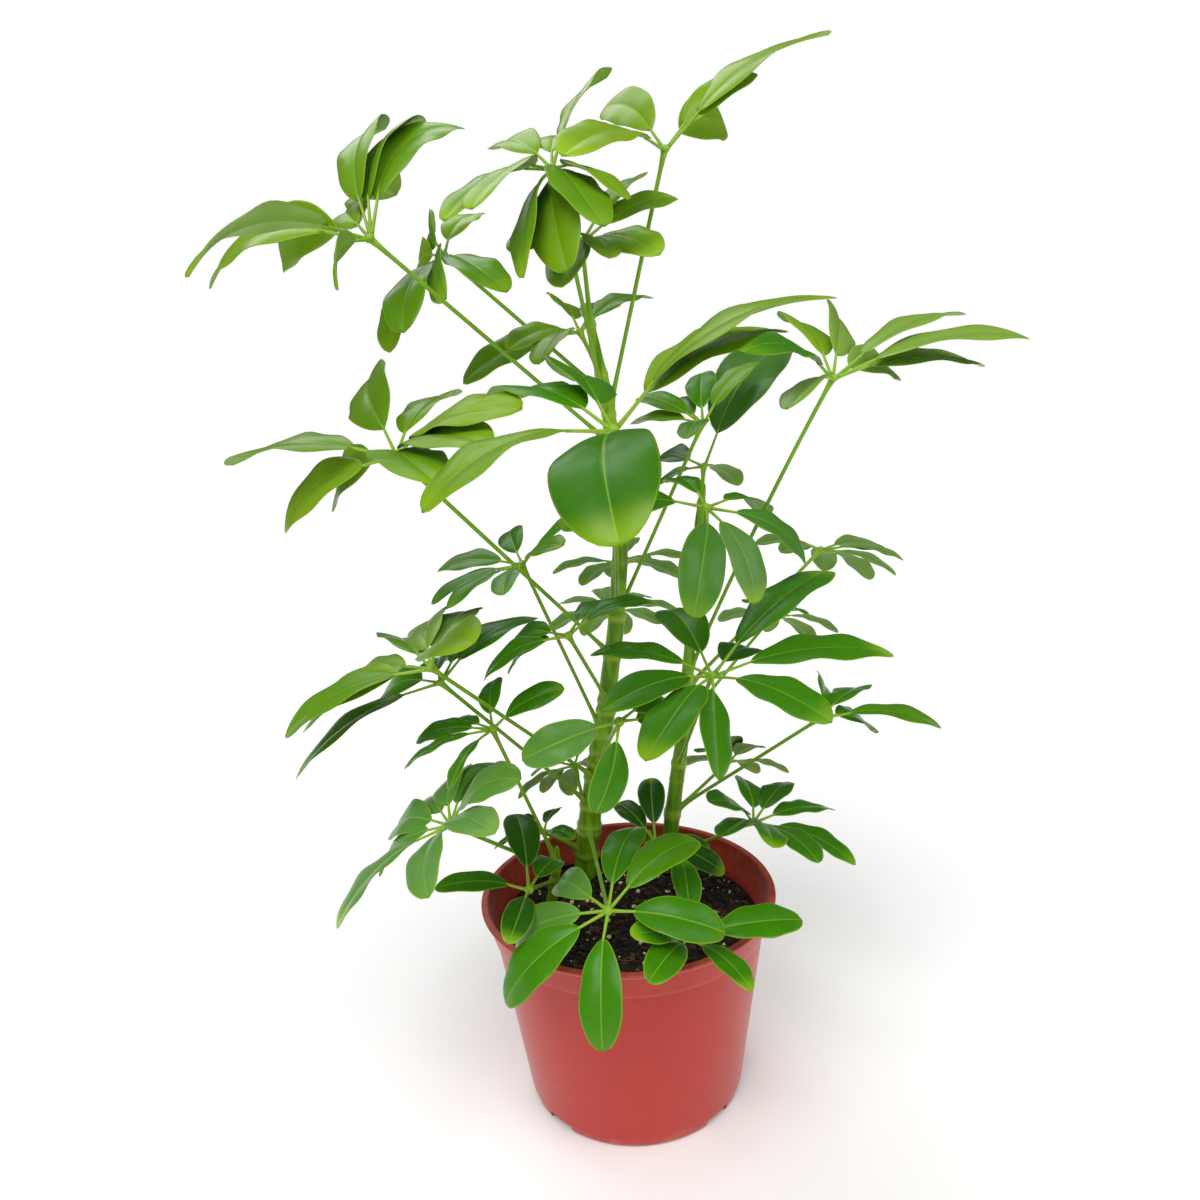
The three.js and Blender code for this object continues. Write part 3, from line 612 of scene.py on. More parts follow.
def blade_material(name, under):
    """A glossy upper side, or the paler and duller underside, whose paleness partly paints a
    backlit glow.
    """
    sizes = bpy.context.scene.plant_leaves
    material, tree, shader, place = new_material(name)
    across, along, painted_sheen = read_note(tree, "blade")
    tone, seed, half_width = read_note(tree, "leaf")
    pattern = use_group(tree, "Blade pattern", {
        "Place": place, "Across": across, "Along": along, "Half width": half_width,
        "Seed": seed})
    vein, edge, rib = (0.1, 0.3, 0.4) if under else (0.05, 0.55, 0.55)
    smooth, dull = (0.5, 0.6) if under else (0.26, 0.38)
    # Old to full to young green by tone; a high tone also paints a backlit glow.
    body = blend(tree, spread(tree, tone, 0.0, 0.5), sizes.dark, sizes.green)
    body = blend(tree, spread(tree, tone, 0.5, 1.0), body, sizes.young)
    # Undersides are paler, partly their own colour and partly a painted backlit glow.
    if under:
        body = blend(tree, sizes.paler, body, UNDERSIDE_GLOW_GREEN)
    patches = spread(tree, pattern["Mottle"], 0.0, 1.0, 0.7, 1.1)
    # Lays the painted sheen, a painted reflection of the sky, where a leaflet's note asks for it.
    body = blend(tree, times(tree, painted_sheen, patches), body, sizes.painted_sheen)
    body = coat(tree, body, pattern["Mottle"], 0.32,
                blend(tree, 1.0, body, LEAF_SHADOW, "MULTIPLY"))
    body = coat(tree, body, pattern["Veins"], vein, sizes.midrib)
    # Yellow-green tips, partly real yellowing and partly a painted translucent glow.
    yellow_tip_and_glow = spread(tree, seed, 0.3, 1.0, 0.1, 0.75)
    body = blend(tree, times(tree, pattern["Tip"], yellow_tip_and_glow), body, sizes.margin)
    # The pale margin is partly real and partly a painted rim highlight.
    body = coat(tree, body, pattern["Margin"], edge, sizes.margin)
    body = coat(tree, body, pattern["Midrib"], rib, sizes.midrib)
    body = coat(tree, body, pattern["Blemish"], 0.7, BLEMISH_BROWN)
    roughness = spread(tree, pattern["Mottle"], 0.0, 1.0, smooth, dull)
    dress(tree, shader, body, roughness, 0.2, pattern["Height"], 0.2 if under else 0.12, 0.0004)
    return material


def stalk_material():
    """Petioles, hubs and leafstalks: green, paler at the joints, with fine lengthwise lines."""
    sizes = bpy.context.scene.plant_stems
    material, tree, shader, place = new_material("Petiole green")
    pale, _, _ = read_note(tree, "stalk")
    speckle = use_group(tree, "Speckle", {"Place": place, "Coarse": 90.0, "Fine": 1500.0})
    lines = streaks(tree, place, 0.15, 1600.0, 2.0)
    body = coat(tree, sizes.petiole, speckle["Clouds"], 0.35, shaded(sizes.petiole, 0.55))
    body = coat(tree, body, pale, 0.6, sizes.pale)
    body = coat(tree, body, spread(tree, lines, 0.55, 0.75), 0.3, sizes.pale)
    roughness = spread(tree, speckle["Clouds"], 0.0, 1.0, 0.38, 0.55)
    dress(tree, shader, body, roughness, 0.35, lines, 0.15, 0.0003)
    return material


def stem_material():
    """Green bark: pale leaf scars, dark ridges, lengthwise cracks and a corky foot."""
    sizes = bpy.context.scene.plant_stems
    material, tree, shader, place = new_material("Green bark")
    scar, height, _ = read_note(tree, "stalk")
    speckle = use_group(tree, "Speckle", {"Place": place, "Coarse": 45.0, "Fine": 1100.0})
    cracks = streaks(tree, place, 0.12, 620.0, 4.0)
    ridges = spread(tree, streaks(tree, place, 0.08, 190.0, 2.0), 0.44, 0.58)
    cork = spread(tree, cracks, 0.52, 0.66)
    corky = times(tree, cork, spread(tree, height, 0.0, 0.25, 0.8, 0.06))
    body = coat(tree, sizes.green, speckle["Clouds"], 0.25, shaded(sizes.green, 0.65))
    body = coat(tree, body, ridges, 0.7, shaded(sizes.green, 0.42))
    body = coat(tree, body, corky, 0.3, CORK_GREEN)
    body = coat(tree, body, scar, 0.75, sizes.pale)
    body = blend(tree, spread(tree, height, 0.0, 0.03, 0.6, 0.0), body, FOOT_BROWN)
    body = coat(tree, body, speckle["Specks"], 0.4, sizes.pale)
    roughness = spread(tree, cork, 0.0, 1.0, 0.36, 0.5)
    dress(tree, shader, body, roughness, 0.2, cracks, 0.12, 0.0004)
    return material


def pot_material():
    """Injection-moulded plastic: fine sandy skin, scuffed edges, a painted glint along the collar's
    step, splashes of dried mix.
    """
    sizes = bpy.context.scene.plant_pot
    material, tree, shader, place = new_material("Terracotta plastic")
    worn_and_glinting = put(tree, "ShaderNodeAttribute", attribute_name="wear_and_glint").outputs["Fac"]
    speckle = use_group(tree, "Speckle", {"Place": place, "Coarse": 18.0, "Fine": 2600.0})
    body = coat(tree, sizes.plastic, speckle["Clouds"], 0.05, shaded(sizes.plastic, 0.82))
    body = coat(tree, body, speckle["Specks"], 0.15, sizes.scuff_and_glint)
    scratch = streaks(tree, place, 3.5, 240.0, 5.0, 0.7, (0.4, 0.25, 0.0))
    scuffs = times(tree, spread(tree, scratch, 0.63, 0.7),
                   spread(tree, grain(tree, place, 14.0, 2.0), 0.5, 0.62))
    body = coat(tree, body, scuffs, 0.12, sizes.scuff_and_glint)
    # Pale worn edges at the lip and the foot, and a painted glint along the collar's step.
    edge = times(tree, worn_and_glinting, spread(tree, grain(tree, place, 160.0, 4.0), 0.3, 0.6))
    body = coat(tree, body, edge, 0.22, sizes.scuff_and_glint)
    dust = times(tree, spread(tree, split(tree, place)[2], 0.0, 0.009, 0.3, 0.0),
                 spread(tree, grain(tree, place, 90.0, 5.0), 0.45, 0.65))
    body = blend(tree, dust, body, DUST)
    flecks = put(tree, "ShaderNodeTexVoronoi", {"Vector": place, "Scale": 75.0},
                 feature="F1").outputs
    few = spread(tree, split(tree, flecks["Color"])[0], 0.8, 0.84)
    fleck = times(tree, spread(tree, flecks["Distance"], 0.02, 0.05, 1.0, 0.0), few)
    body = coat(tree, body, fleck, 0.75, PALE_FLECK)
    splash = spread(tree, grain(tree, place, 320.0), 0.74, 0.77)
    body = coat(tree, body, splash, 0.6, DRIED_SPLASH)
    roughness = spread(tree, maths(tree, "ADD", scuffs, dust), 0.0, 1.0, 0.4, 0.66)
    dress(tree, shader, body, roughness, 0.3, speckle["Height"], 0.12, 0.0005)
    shader.inputs["Sheen Weight"].default_value = 0.25
    shader.inputs["Sheen Roughness"].default_value = 0.35
    return material


def mix_material(name, colour, light, share):
    """Peat, bark, perlite or fibre: its colour, lighter flecks and a crumbly surface."""
    material, tree, shader, place = new_material(name)
    speckle = use_group(tree, "Speckle", {"Place": place, "Coarse": 260.0, "Fine": 1500.0})
    body = coat(tree, colour, speckle["Clouds"], share, light)
    body = coat(tree, body, speckle["Specks"], 0.5, shaded(colour, 0.5))
    roughness = spread(tree, speckle["Clouds"], 0.0, 1.0, 0.75, 0.95)
    dress(tree, shader, body, roughness, 0.5, speckle["Height"], 0.8, 0.001)
    return material


def make_shared_groups():
    """Makes the node groups that several materials use."""
    if "Speckle" not in bpy.data.node_groups:
        make_speckle_group()
        make_blade_group()


# ---------------------------------------------------------------- the plant's geometry

def stem_at(stem, height):
    """The middle of a stem and its radius at a height, in millimetres."""
    bends = STEMS[stem]
    i = 0
    while i < len(bends) - 2 and bends[i + 1][2] < height:
        i += 1
    low, high = bends[i], bends[i + 1]
    share = (height - low[2]) / (high[2] - low[2])
    middle = Vector(low[:3]).lerp(Vector(high[:3]), share)
    return middle, low[3] + (high[3] - low[3]) * share


def crown_axes(lean, tip):
    """The crown's normal, and the east and north of the plane its leaflets spread in."""
    lean, tip = math.radians(lean), math.radians(tip)
    normal = Vector((math.sin(tip) * math.cos(lean), math.sin(tip) * math.sin(lean),
                     math.cos(tip)))
    east = (Vector((1, 0, 0)) - normal * normal.x).normalized()
    return normal, east, normal.cross(east)


RIB_STEPS = 40


def midrib(hub, along, normal, length, lift, droop):
    """The midrib's points, directions and upward directions, at even steps."""
    root = HUB_RADIUS * 0.6
    point = hub + along * root
    rib = []
    for step in range(RIB_STEPS + 1):
        share = max(0.0, (step - 0.5) / RIB_STEPS)
        angle = math.radians(lift - droop * max(0.0, (share - STALK) / (1 - STALK)))
        forward = along * math.cos(angle) + normal * math.sin(angle)
        up = normal * math.cos(angle) - along * math.sin(angle)
        if step:
            point = point + forward * ((length - root) / RIB_STEPS)
        rib.append((point, forward, up))
    return rib


def along_rib(rib, share):
    """The rib's point, direction and upward direction at a share of its length."""
    place = min(share, 0.99999) * (len(rib) - 1)
    low = int(place)
    return tuple(rib[low][i].lerp(rib[low + 1][i], place - low) for i in range(3))


# Columns of a blade from margin to margin, and its rows from foot to tip.
COLUMNS = (-1, -0.95, -0.74, -0.5, -0.28, -0.08, 0, 0.08, 0.28, 0.5, 0.74, 0.95, 1)
ROWS = 22

FOOT_TAPER, TIP_ROUNDNESS = 0.68, 0.56
WIDEST = ((FOOT_TAPER / (FOOT_TAPER + TIP_ROUNDNESS)) ** FOOT_TAPER
          * (TIP_ROUNDNESS / (FOOT_TAPER + TIP_ROUNDNESS)) ** TIP_ROUNDNESS)


def blade_outline(along):
    """A blade's half width at a share of its length: tapered foot, blunt round tip."""
    return along ** FOOT_TAPER * (1 - along) ** TIP_ROUNDNESS / WIDEST


GROOVE_WIDTH = 0.9              # of the groove beside the midrib, in millimetres
GROOVE_ABOVE, GROOVE_BELOW = 0.28, 0.45
RIDGES_PER_BLADE = 5.5          # of the quilting between the side veins
LEAST_WIDTH = 0.45              # where the blade runs into its stalk, in millimetres
TIP_CROWDING = 0.09             # how far the rows crowd towards the tip
FOOT_CLOSING, TIP_CLOSING = 9, 14       # how fast a blade thickens from its two ends


def grow_blade(bm, rib, across, half, habit, tone):
    """A leaflet's blade: two grids bent along the midrib and closed at the margin."""
    sizes = bpy.context.scene.plant_leaves
    blade, leaf = noted(bm, "blade"), noted(bm, "leaf")
    thick = sizes.thickness / MM
    made = []
    for under in (False, True):
        sheet = bmesh.ops.create_grid(
            bm, x_segments=len(COLUMNS) - 1, y_segments=ROWS, size=1.0)["verts"]
        for vert in sheet:
            u = COLUMNS[round((vert.co.x + 1) / 2 * (len(COLUMNS) - 1))]
            row = (vert.co.y + 1) / 2
            along = min(1.0, row + TIP_CROWDING * math.sin(math.pi * row) * row)
            point, forward, up = along_rib(rib, STALK + (1 - STALK) * along)
            width = max(half * blade_outline(along), LEAST_WIDTH * (1 - along))
            turn = Quaternion(forward, habit["roll"] + habit["twist"] * (along - 0.5))
            right, rise = turn @ across, turn @ up
            lift = blade_lift(sizes, habit, u, along, width, half)
            reach = abs(u) * width
            groove = (math.exp(-(reach / GROOVE_WIDTH) ** 2) * (1 - u * u)
                      * min(1.0, 3 * (1 - along)))
            closing = min(1.0, FOOT_CLOSING * along, TIP_CLOSING * (1 - along))
            body = thick * 0.5 * math.sqrt(1 - u * u) * closing
            if under:
                lift -= body + GROOVE_BELOW * groove * closing
            else:
                lift += body - GROOVE_ABOVE * groove * closing
            bend = habit["sway"] * math.sin(math.pi * along)
            vert.co = (point + right * (u * width + bend) + rise * lift) * MM
            vert[blade] = (u, along, habit["painted_sheen"])
            vert[leaf] = (tone, habit["seed"], width * MM)
        for face in {face for vert in sheet for face in vert.link_faces}:
            face.material_index = 2 if under else 1
        made += sheet
    bmesh.ops.remove_doubles(bm, verts=made, dist=2e-6)
    left = [vert for vert in made if vert.is_valid]
    bmesh.ops.recalc_face_normals(bm, faces=list({f for v in left for f in v.link_faces}))


def blade_lift(sizes, habit, u, along, width, half):
    """How far a blade's middle layer folds, curls, waves and quilts off its flat plane."""
    reach = abs(u) * width
    flutter = math.sin(2 * math.pi * habit["waves"] * along + habit["phase"]
                       + (1.3 if u > 0 else 0.0))
    wave = sizes.wave * half * flutter * abs(u) ** 2.5 * math.sin(math.pi * along)
    ridge = math.sin(2 * math.pi * (RIDGES_PER_BLADE * along - 0.75 * abs(u)))
    quilt = habit["quilt"] * ridge * abs(u) * (1 - abs(u))
    return sizes.fold * reach - sizes.curl * u * u * width + wave + quilt


def grow_stalks(bm, path, sides, pale):
    """A green tube whose stalk note holds how pale each station is."""
    stalk = noted(bm, "stalk")
    made = grow_tube(bm, [(p * MM, d, r * MM) for p, d, r in path], sides)
    for i, vert in enumerate(made):
        vert[stalk] = (pale[i // sides], i // sides / len(path), 0)


PETIOLE_STEPS, PETIOLE_SIDES = 24, 12
SHEATH_REACH = 4.5              # how far a petiole's clasping foot tapers, in millimetres
TOP_REACH, TOP_SWELL = 5.0, 0.75


def grow_petiole(bm, leaf, hub):
    """The petiole: a clasping sheath on the stem, a slim round stalk, a swollen top."""
    sizes = bpy.context.scene.plant_stems
    foot, stem_radius = stem_at(leaf["stem"], leaf["joint"])
    slim, sheath = sizes.petiole_radius / MM, sizes.sheath_radius / MM
    reach = (hub - foot).length
    bend = (foot + hub) / 2 + Vector((0, 0, leaf.get("bow", 0) * reach))
    path, pale = [], []
    for step in range(PETIOLE_STEPS + 1):
        t = step / PETIOLE_STEPS
        t = t ** 1.4 if step < PETIOLE_STEPS / 2 else t
        point = foot * (1 - t) ** 2 + bend * 2 * t * (1 - t) + hub * t * t
        way = ((bend - foot) * (1 - t) + (hub - bend) * t).normalized()
        beyond = max(0.0, t * reach - stem_radius)
        flare = math.exp(-beyond / SHEATH_REACH)
        top = math.exp(-((1 - t) * reach / TOP_REACH) ** 2)
        path.append((point, way, slim + (sheath - slim) * flare + TOP_SWELL * top))
        pale.append(min(1.0, 0.8 * flare + 0.5 * top))
    grow_stalks(bm, path, PETIOLE_SIDES, pale)


def grow_hub(bm, hub, normal):
    """The knob where the leafstalks meet."""
    stalk = noted(bm, "stalk")
    place = Matrix.Translation(hub * MM) @ normal.to_track_quat("Z", "Y").to_matrix().to_4x4()
    knob = bmesh.ops.create_uvsphere(
        bm, u_segments=16, v_segments=10, radius=HUB_RADIUS * MM,
        matrix=place @ Matrix.Diagonal((1, 1, 0.8, 1)))
    for vert in knob["verts"]:
        vert[stalk] = (0.55, 0.5, 0)


LEAFSTALK_STEPS, LEAFSTALK_SIDES = 7, 8
LEAFSTALK_RADIUS, LEAFSTALK_FLARE = 0.62, 0.3


def grow_leafstalk(bm, rib):
    """The short stalk between the hub and a blade, thicker at the hub."""
    path, pale = [], []
    for step in range(LEAFSTALK_STEPS + 1):
        share = step / LEAFSTALK_STEPS
        point, forward, _ = along_rib(rib, share * (STALK + 0.03))
        path.append((point, forward, LEAFSTALK_RADIUS + LEAFSTALK_FLARE * (1 - share) ** 2))
        pale.append(0.35 + 0.3 * share)
    grow_stalks(bm, path, LEAFSTALK_SIDES, pale)


def grow_leaf(leaf, materials):
    """One palmate leaf, closed parts in one piece that stands for its CAD node."""
    rng = random.Random(leaf["name"])
    bm = bmesh.new()
    for name in ("blade", "leaf", "stalk"):
        noted(bm, name)
    hub = Vector(leaf["hub"])
    normal, east, north = crown_axes(*leaf["crown"])
    grow_petiole(bm, leaf, hub)
    grow_hub(bm, hub, normal)
    for bearing, length, lift, *roll in leaf["leaflets"]:
        turn = math.radians(bearing)
        along = east * math.cos(turn) + north * math.sin(turn)
        rib = midrib(hub, along, normal, length, lift, leaf["droop"])
        half = length * leaf.get("width", BLADE_WIDTH) / 2 * rng.uniform(0.96, 1.06)
        habit = {
            "roll": math.radians(sum(roll)), "twist": math.radians(rng.uniform(-14, 14)),
            "waves": rng.uniform(1.5, 2.8), "phase": rng.uniform(0, 2 * math.pi),
            "sway": rng.uniform(-0.02, 0.02) * length, "quilt": rng.uniform(0.15, 0.35),
            "seed": rng.random(), "painted_sheen": leaf.get("painted_sheen", {}).get(bearing, 0.0)}
        # Lighter leaflets paint a backlit glow; a value below 0 darkens a leaflet.
        painted_glow = leaf.get("painted_glow", {}).get(bearing, 0.0)
        tone = min(1.0, max(0.0, leaf["tone"] + painted_glow + rng.uniform(-0.13, 0.13)))
        grow_leafstalk(bm, rib)
        grow_blade(bm, rib, normal.cross(along), half, habit, tone)
    obj = plant_object("foliage_" + leaf["name"][5:], bm, materials)
    stand_for(obj, leaf["name"])
    return obj


# ---------------------------------------------------------------- operators

BODY_INSET = 0.0064             # how far inside the rim the body ends under the collar
COLLAR_INSET, COLLAR_FOOT_INSET = 0.0021, 0.0051
COLLAR_EDGES = 0.0009           # height of the collar's two rounded edges together
LIP_ROLL = 0.0009               # radius of the lip's rolled edge
POT_STEPS, SOIL_STEPS = 180, 230


class PLANT_OT_pot(bpy.types.Operator):
    """Builds the moulded pot with its lip, collar and drainage notches"""
    bl_idname = "plant.pot"
    bl_label = "Pot"

    def execute(self, context):
        sizes = context.scene.plant_pot
        base, wall = sizes.base_radius, sizes.wall
        collar_foot = POT_HEIGHT - sizes.collar
        lip_under = POT_HEIGHT - sizes.lip
        body_top = RIM_RADIUS - BODY_INSET
        collar_top = RIM_RADIUS - COLLAR_INSET
        collar_low = RIM_RADIUS - COLLAR_FOOT_INSET
        slope = (body_top - base) / collar_foot
        rise = (collar_top - collar_low) / (lip_under - collar_foot - COLLAR_EDGES)
        # Outside: the rounded foot, the straight body, then the collar that stands out from it.
        profile = [(0.0, 0.0), (base - 0.0022, 0.0), (base - 0.0006, 0.0006)]
        profile += [(base + slope * height, height) for height in (0.0022, 0.006, 0.009)]
        profile += [(body_top, collar_foot - 0.0002), (collar_low - 0.0002, collar_foot),
                    (collar_low, collar_foot + 0.0006),
                    (collar_low + rise * 0.0016, collar_foot + 0.0022),
                    (collar_top - rise * 0.0016, lip_under - 0.0019),
                    (collar_top, lip_under - 0.0003), (RIM_RADIUS - LIP_ROLL, lip_under)]
        for step in range(7):
            turn = math.radians(-60 + step * 25)
            profile.append((RIM_RADIUS - LIP_ROLL + LIP_ROLL * math.cos(turn),
                            POT_HEIGHT - LIP_ROLL + LIP_ROLL * math.sin(turn)))
        # Inside: down the wall, which follows the outside, to the floor.
        profile += [(collar_top - wall + 0.0004, POT_HEIGHT),
                    (collar_top - wall - 0.0001, POT_HEIGHT - 0.0006),
                    (collar_top - wall, lip_under), (collar_low - wall, collar_foot + 0.0006),
                    (body_top - wall, collar_foot - 0.001),
                    (base + slope * sizes.floor - wall, sizes.floor), (0.0, sizes.floor)]
        bm = turn_profile(profile, POT_STEPS)
        pot = plant_object("nursery_pot", bm, [pot_material()])
        self.cut_notches(context, pot, sizes)
        self.mark_wear_and_glint(pot, collar_foot)
        stand_for(pot, "pot")
        return {"FINISHED"}

    def cut_notches(self, context, pot, sizes):
        """Cuts three pairs of radial channels through the foot."""
        bm = bmesh.new()
        length, width = 0.022, 0.0155
        for middle in NOTCH_PAIR_BEARINGS:
            for side in (-1, 1):
                bearing = math.radians(middle + side * NOTCH_SPREAD / 2)
                place = (Matrix.Rotation(bearing, 4, "Z")
                         @ Matrix.Translation((sizes.base_radius + 0.002 - length / 2, 0,
                                               sizes.notch / 2 - 0.0005))
                         @ Matrix.Diagonal((length, width, sizes.notch + 0.001, 1)))
                bmesh.ops.create_cube(bm, size=1.0, matrix=place)
        upright = [edge for edge in bm.edges
                   if abs(edge.verts[0].co.z - edge.verts[1].co.z) < 1e-6
                   and edge.verts[0].co.z > 0.001]
        bmesh.ops.bevel(bm, geom=upright, offset=0.0008, offset_type="OFFSET", segments=3,
                        profile=0.5, affect="EDGES", material=-1)
        cutter = plant_object("notch_cutter", bm, [])
        cut = pot.modifiers.new("Notches", "BOOLEAN")
        cut.object = cutter
        cut.operation = "DIFFERENCE"
        cut.solver = "EXACT"
        context.view_layer.update()
        shaped = bpy.data.meshes.new_from_object(
            pot.evaluated_get(context.evaluated_depsgraph_get()))
        pot.modifiers.clear()
        pot.data = shaped
        bpy.data.objects.remove(cutter)
        shaped.materials.clear()
        shaped.materials.append(bpy.data.materials["Terracotta plastic"])

    def mark_wear_and_glint(self, pot, collar_foot):
        """Notes worn edges and a painted glint along the collar's step, and keeps corners crisp
        that turn by more than 38 degrees.
        """
        bm = bmesh.new()
        bm.from_mesh(pot.data)
        wear_and_glint = bm.verts.layers.float.new("wear_and_glint")
        for vert in bm.verts:
            near_lip = abs(vert.co.z - POT_HEIGHT) < 0.0025
            # The collar's step gets a painted glint; the lip and the foot wear.
            near_step = -0.0001 < vert.co.z - collar_foot < 0.0008
            near_foot = vert.co.z < 0.0009
            vert[wear_and_glint] = 1.0 if near_lip else 0.7 if near_step or near_foot else 0.0
        for edge in bm.edges:
            if len(edge.link_faces) == 2 and edge.calc_face_angle() > math.radians(38):
                edge.smooth = False
        for face in bm.faces:
            face.smooth = True
        bm.to_mesh(pot.data)
        bm.free()


class PLANT_OT_soil(bpy.types.Operator):
    """Fills the pot with lumpy potting mix"""
    bl_idname = "plant.soil"
    bl_label = "Potting mix"

    def execute(self, context):
        sizes = context.scene.plant_soil
        floor = SOIL_LOW[2]
        foot = SOIL_RADIUS * 0.82
        profile = [(0.0, floor), (foot, floor), (SOIL_RADIUS - 0.0002, SOIL_HIGH[2] - 0.0065)]
        rings = 60
        for step in range(rings + 1):
            radius = SOIL_RADIUS * (rings - step) / rings
            profile.append((radius, surface_height(radius)))
        bm = turn_profile(profile, SOIL_STEPS)
        for vert in bm.verts:
            if vert.co.z > SOIL_HIGH[2] - 0.005 and vert.co.xy.length < SOIL_RADIUS - 0.0004:
                vert.co.z += lumps(vert.co) * sizes.relief
        damp = mix_material("Damp peat", sizes.peat, shaded(sizes.peat, 2.8), 0.5)
        obj = plant_object("potting_mix", bm, [damp])
        stand_for(obj, "soil")
        return {"FINISHED"}


MIX_SINK, MIX_DOME, MIX_WALL_DIP = 0.0016, 0.0014, 0.0012
WALL_GAP, STEM_GAP = 0.0035, 0.003      # that the loose bits keep


def surface_height(radius):
    """The mix is low where it meets the wall and slightly domed in the middle."""
    share = radius / SOIL_RADIUS
    return SOIL_HIGH[2] - MIX_SINK - MIX_DOME * share ** 2 - MIX_WALL_DIP * share ** 12


def lumps(point):
    """The mix's relief at a point, about -1 to 1, from three sizes of noise."""
    coarse = noise.noise(point * 95)
    middle = noise.noise(point * 330 + Vector((3, 1, 2)))
    fine = noise.noise(point * 900 + Vector((7, 5, 1)))
    return max(-0.6, 0.7 * coarse + 0.75 * middle + 0.35 * fine)


class PLANT_OT_soil_bits(bpy.types.Operator):
    """Strews crumbs, bark chips, perlite and root fibres over the potting mix"""
    bl_idname = "plant.soil_bits"
    bl_label = "Loose bits"

    def execute(self, context):
        sizes = context.scene.plant_soil
        rng = random.Random(41)
        crumb = mix_material("Peat crumbs", shaded(sizes.peat, 1.4), shaded(sizes.peat, 7.0), 0.7)
        bark = mix_material("Bark", sizes.bark, shaded(sizes.bark, 0.35), 0.8)
        perlite = mix_material("Perlite", sizes.perlite, shaded(sizes.perlite, 0.7), 0.5)
        fibre = mix_material("Root fibre", ROOT_BROWN, ROOT_PALE, 0.6)
        self.strew("peat_crumbs", rng, sizes.crumbs, (0.0006, 0.0021), (1, 0.85, 0.75), crumb)
        self.strew("bark_chips", rng, sizes.chips, (0.0011, 0.0044), (1, 0.42, 0.3), bark)
        self.strew("perlite_grains", rng, sizes.grains, (0.0005, 0.0019), (1, 0.8, 0.7), perlite)
        self.lay_fibres(rng, sizes.fibres, fibre)
        return {"FINISHED"}

    def strew(self, name, rng, count, span, shape, material):
        """Rounded, dented lumps of uneven size, half sunk into the mix."""
        bm = bmesh.new()
        for _ in range(count):
            size = span[0] + (span[1] - span[0]) * rng.random() ** 2.2
            place = self.resting_place(rng, size * shape[2] * 0.45)
            turn = (Matrix.Rotation(rng.uniform(0, 2 * math.pi), 4, "Z")
                    @ Matrix.Rotation(rng.uniform(-0.4, 0.4), 4, "X"))
            lump = bmesh.ops.create_icosphere(
                bm, subdivisions=1, radius=size,
                matrix=Matrix.Translation(place) @ turn @ Matrix.Diagonal((*shape, 1)))["verts"]
            for vert in lump:
                dent = 1 + 0.35 * noise.noise(vert.co * 700 + Vector((size * 9e4, 0, 0)))
                vert.co = place + (vert.co - place) * dent
        obj = plant_object(name, bm, [material])
        obj.data.polygons.foreach_set("use_smooth", [False] * len(obj.data.polygons))
        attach(obj, BODY)

    def resting_place(self, rng, sink):
        """A spot on the mix, clear of the pot's wall and of the stems."""
        while True:
            radius = (SOIL_RADIUS - WALL_GAP) * math.sqrt(rng.random())
            bearing = rng.uniform(0, 2 * math.pi)
            spot = Vector((radius * math.cos(bearing), radius * math.sin(bearing), 0))
            clear = all((spot.xy - Vector(bends[0][:2]) * MM).length
                        > bends[0][3] * MM + STEM_GAP for bends in STEMS.values())
            if clear:
                spot.z = surface_height(radius)
                spot.z += lumps(spot) * bpy.context.scene.plant_soil.relief + sink
                return spot

    def lay_fibres(self, rng, count, material):
        """Thin wavy roots that lie on the mix."""
        bm = bmesh.new()
        for _ in range(count):
            spot = self.resting_place(rng, 0.0)
            bearing = rng.uniform(0, 2 * math.pi)
            bend = rng.uniform(-0.5, 0.5)
            length = rng.uniform(0.004, 0.012)
            points = []
            for step in range(7):
                bearing += bend * 0.35
                radius = min(spot.xy.length, SOIL_RADIUS - 0.003)
                top = surface_height(radius) + 0.0005
                spot = Vector((spot.x, spot.y, top + 0.0006 * math.sin(step * 1.1)))
                points.append(spot)
                spot = spot + Vector((math.cos(bearing), math.sin(bearing), 0)) * length / 6
            if max(point.xy.length for point in points) > SOIL_RADIUS - 0.003:
                continue
            ways = [(b - a).normalized() for a, b in zip(points, points[1:])]
            ways.append(ways[-1])
            grow_tube(bm, [(point, way, 0.00016) for point, way in zip(points, ways)], 5)
        obj = plant_object("root_fibres", bm, [material])
        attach(obj, BODY)


OLD_SCAR_START, OLD_SCAR_SPACING = 112, 34      # heights in millimetres
RING_SPACING = 1.3              # of a stem's rings of vertices, in millimetres
STEM_SIDES = 24
STEM_REACH = 310                # height over which the bark's look runs, in millimetres


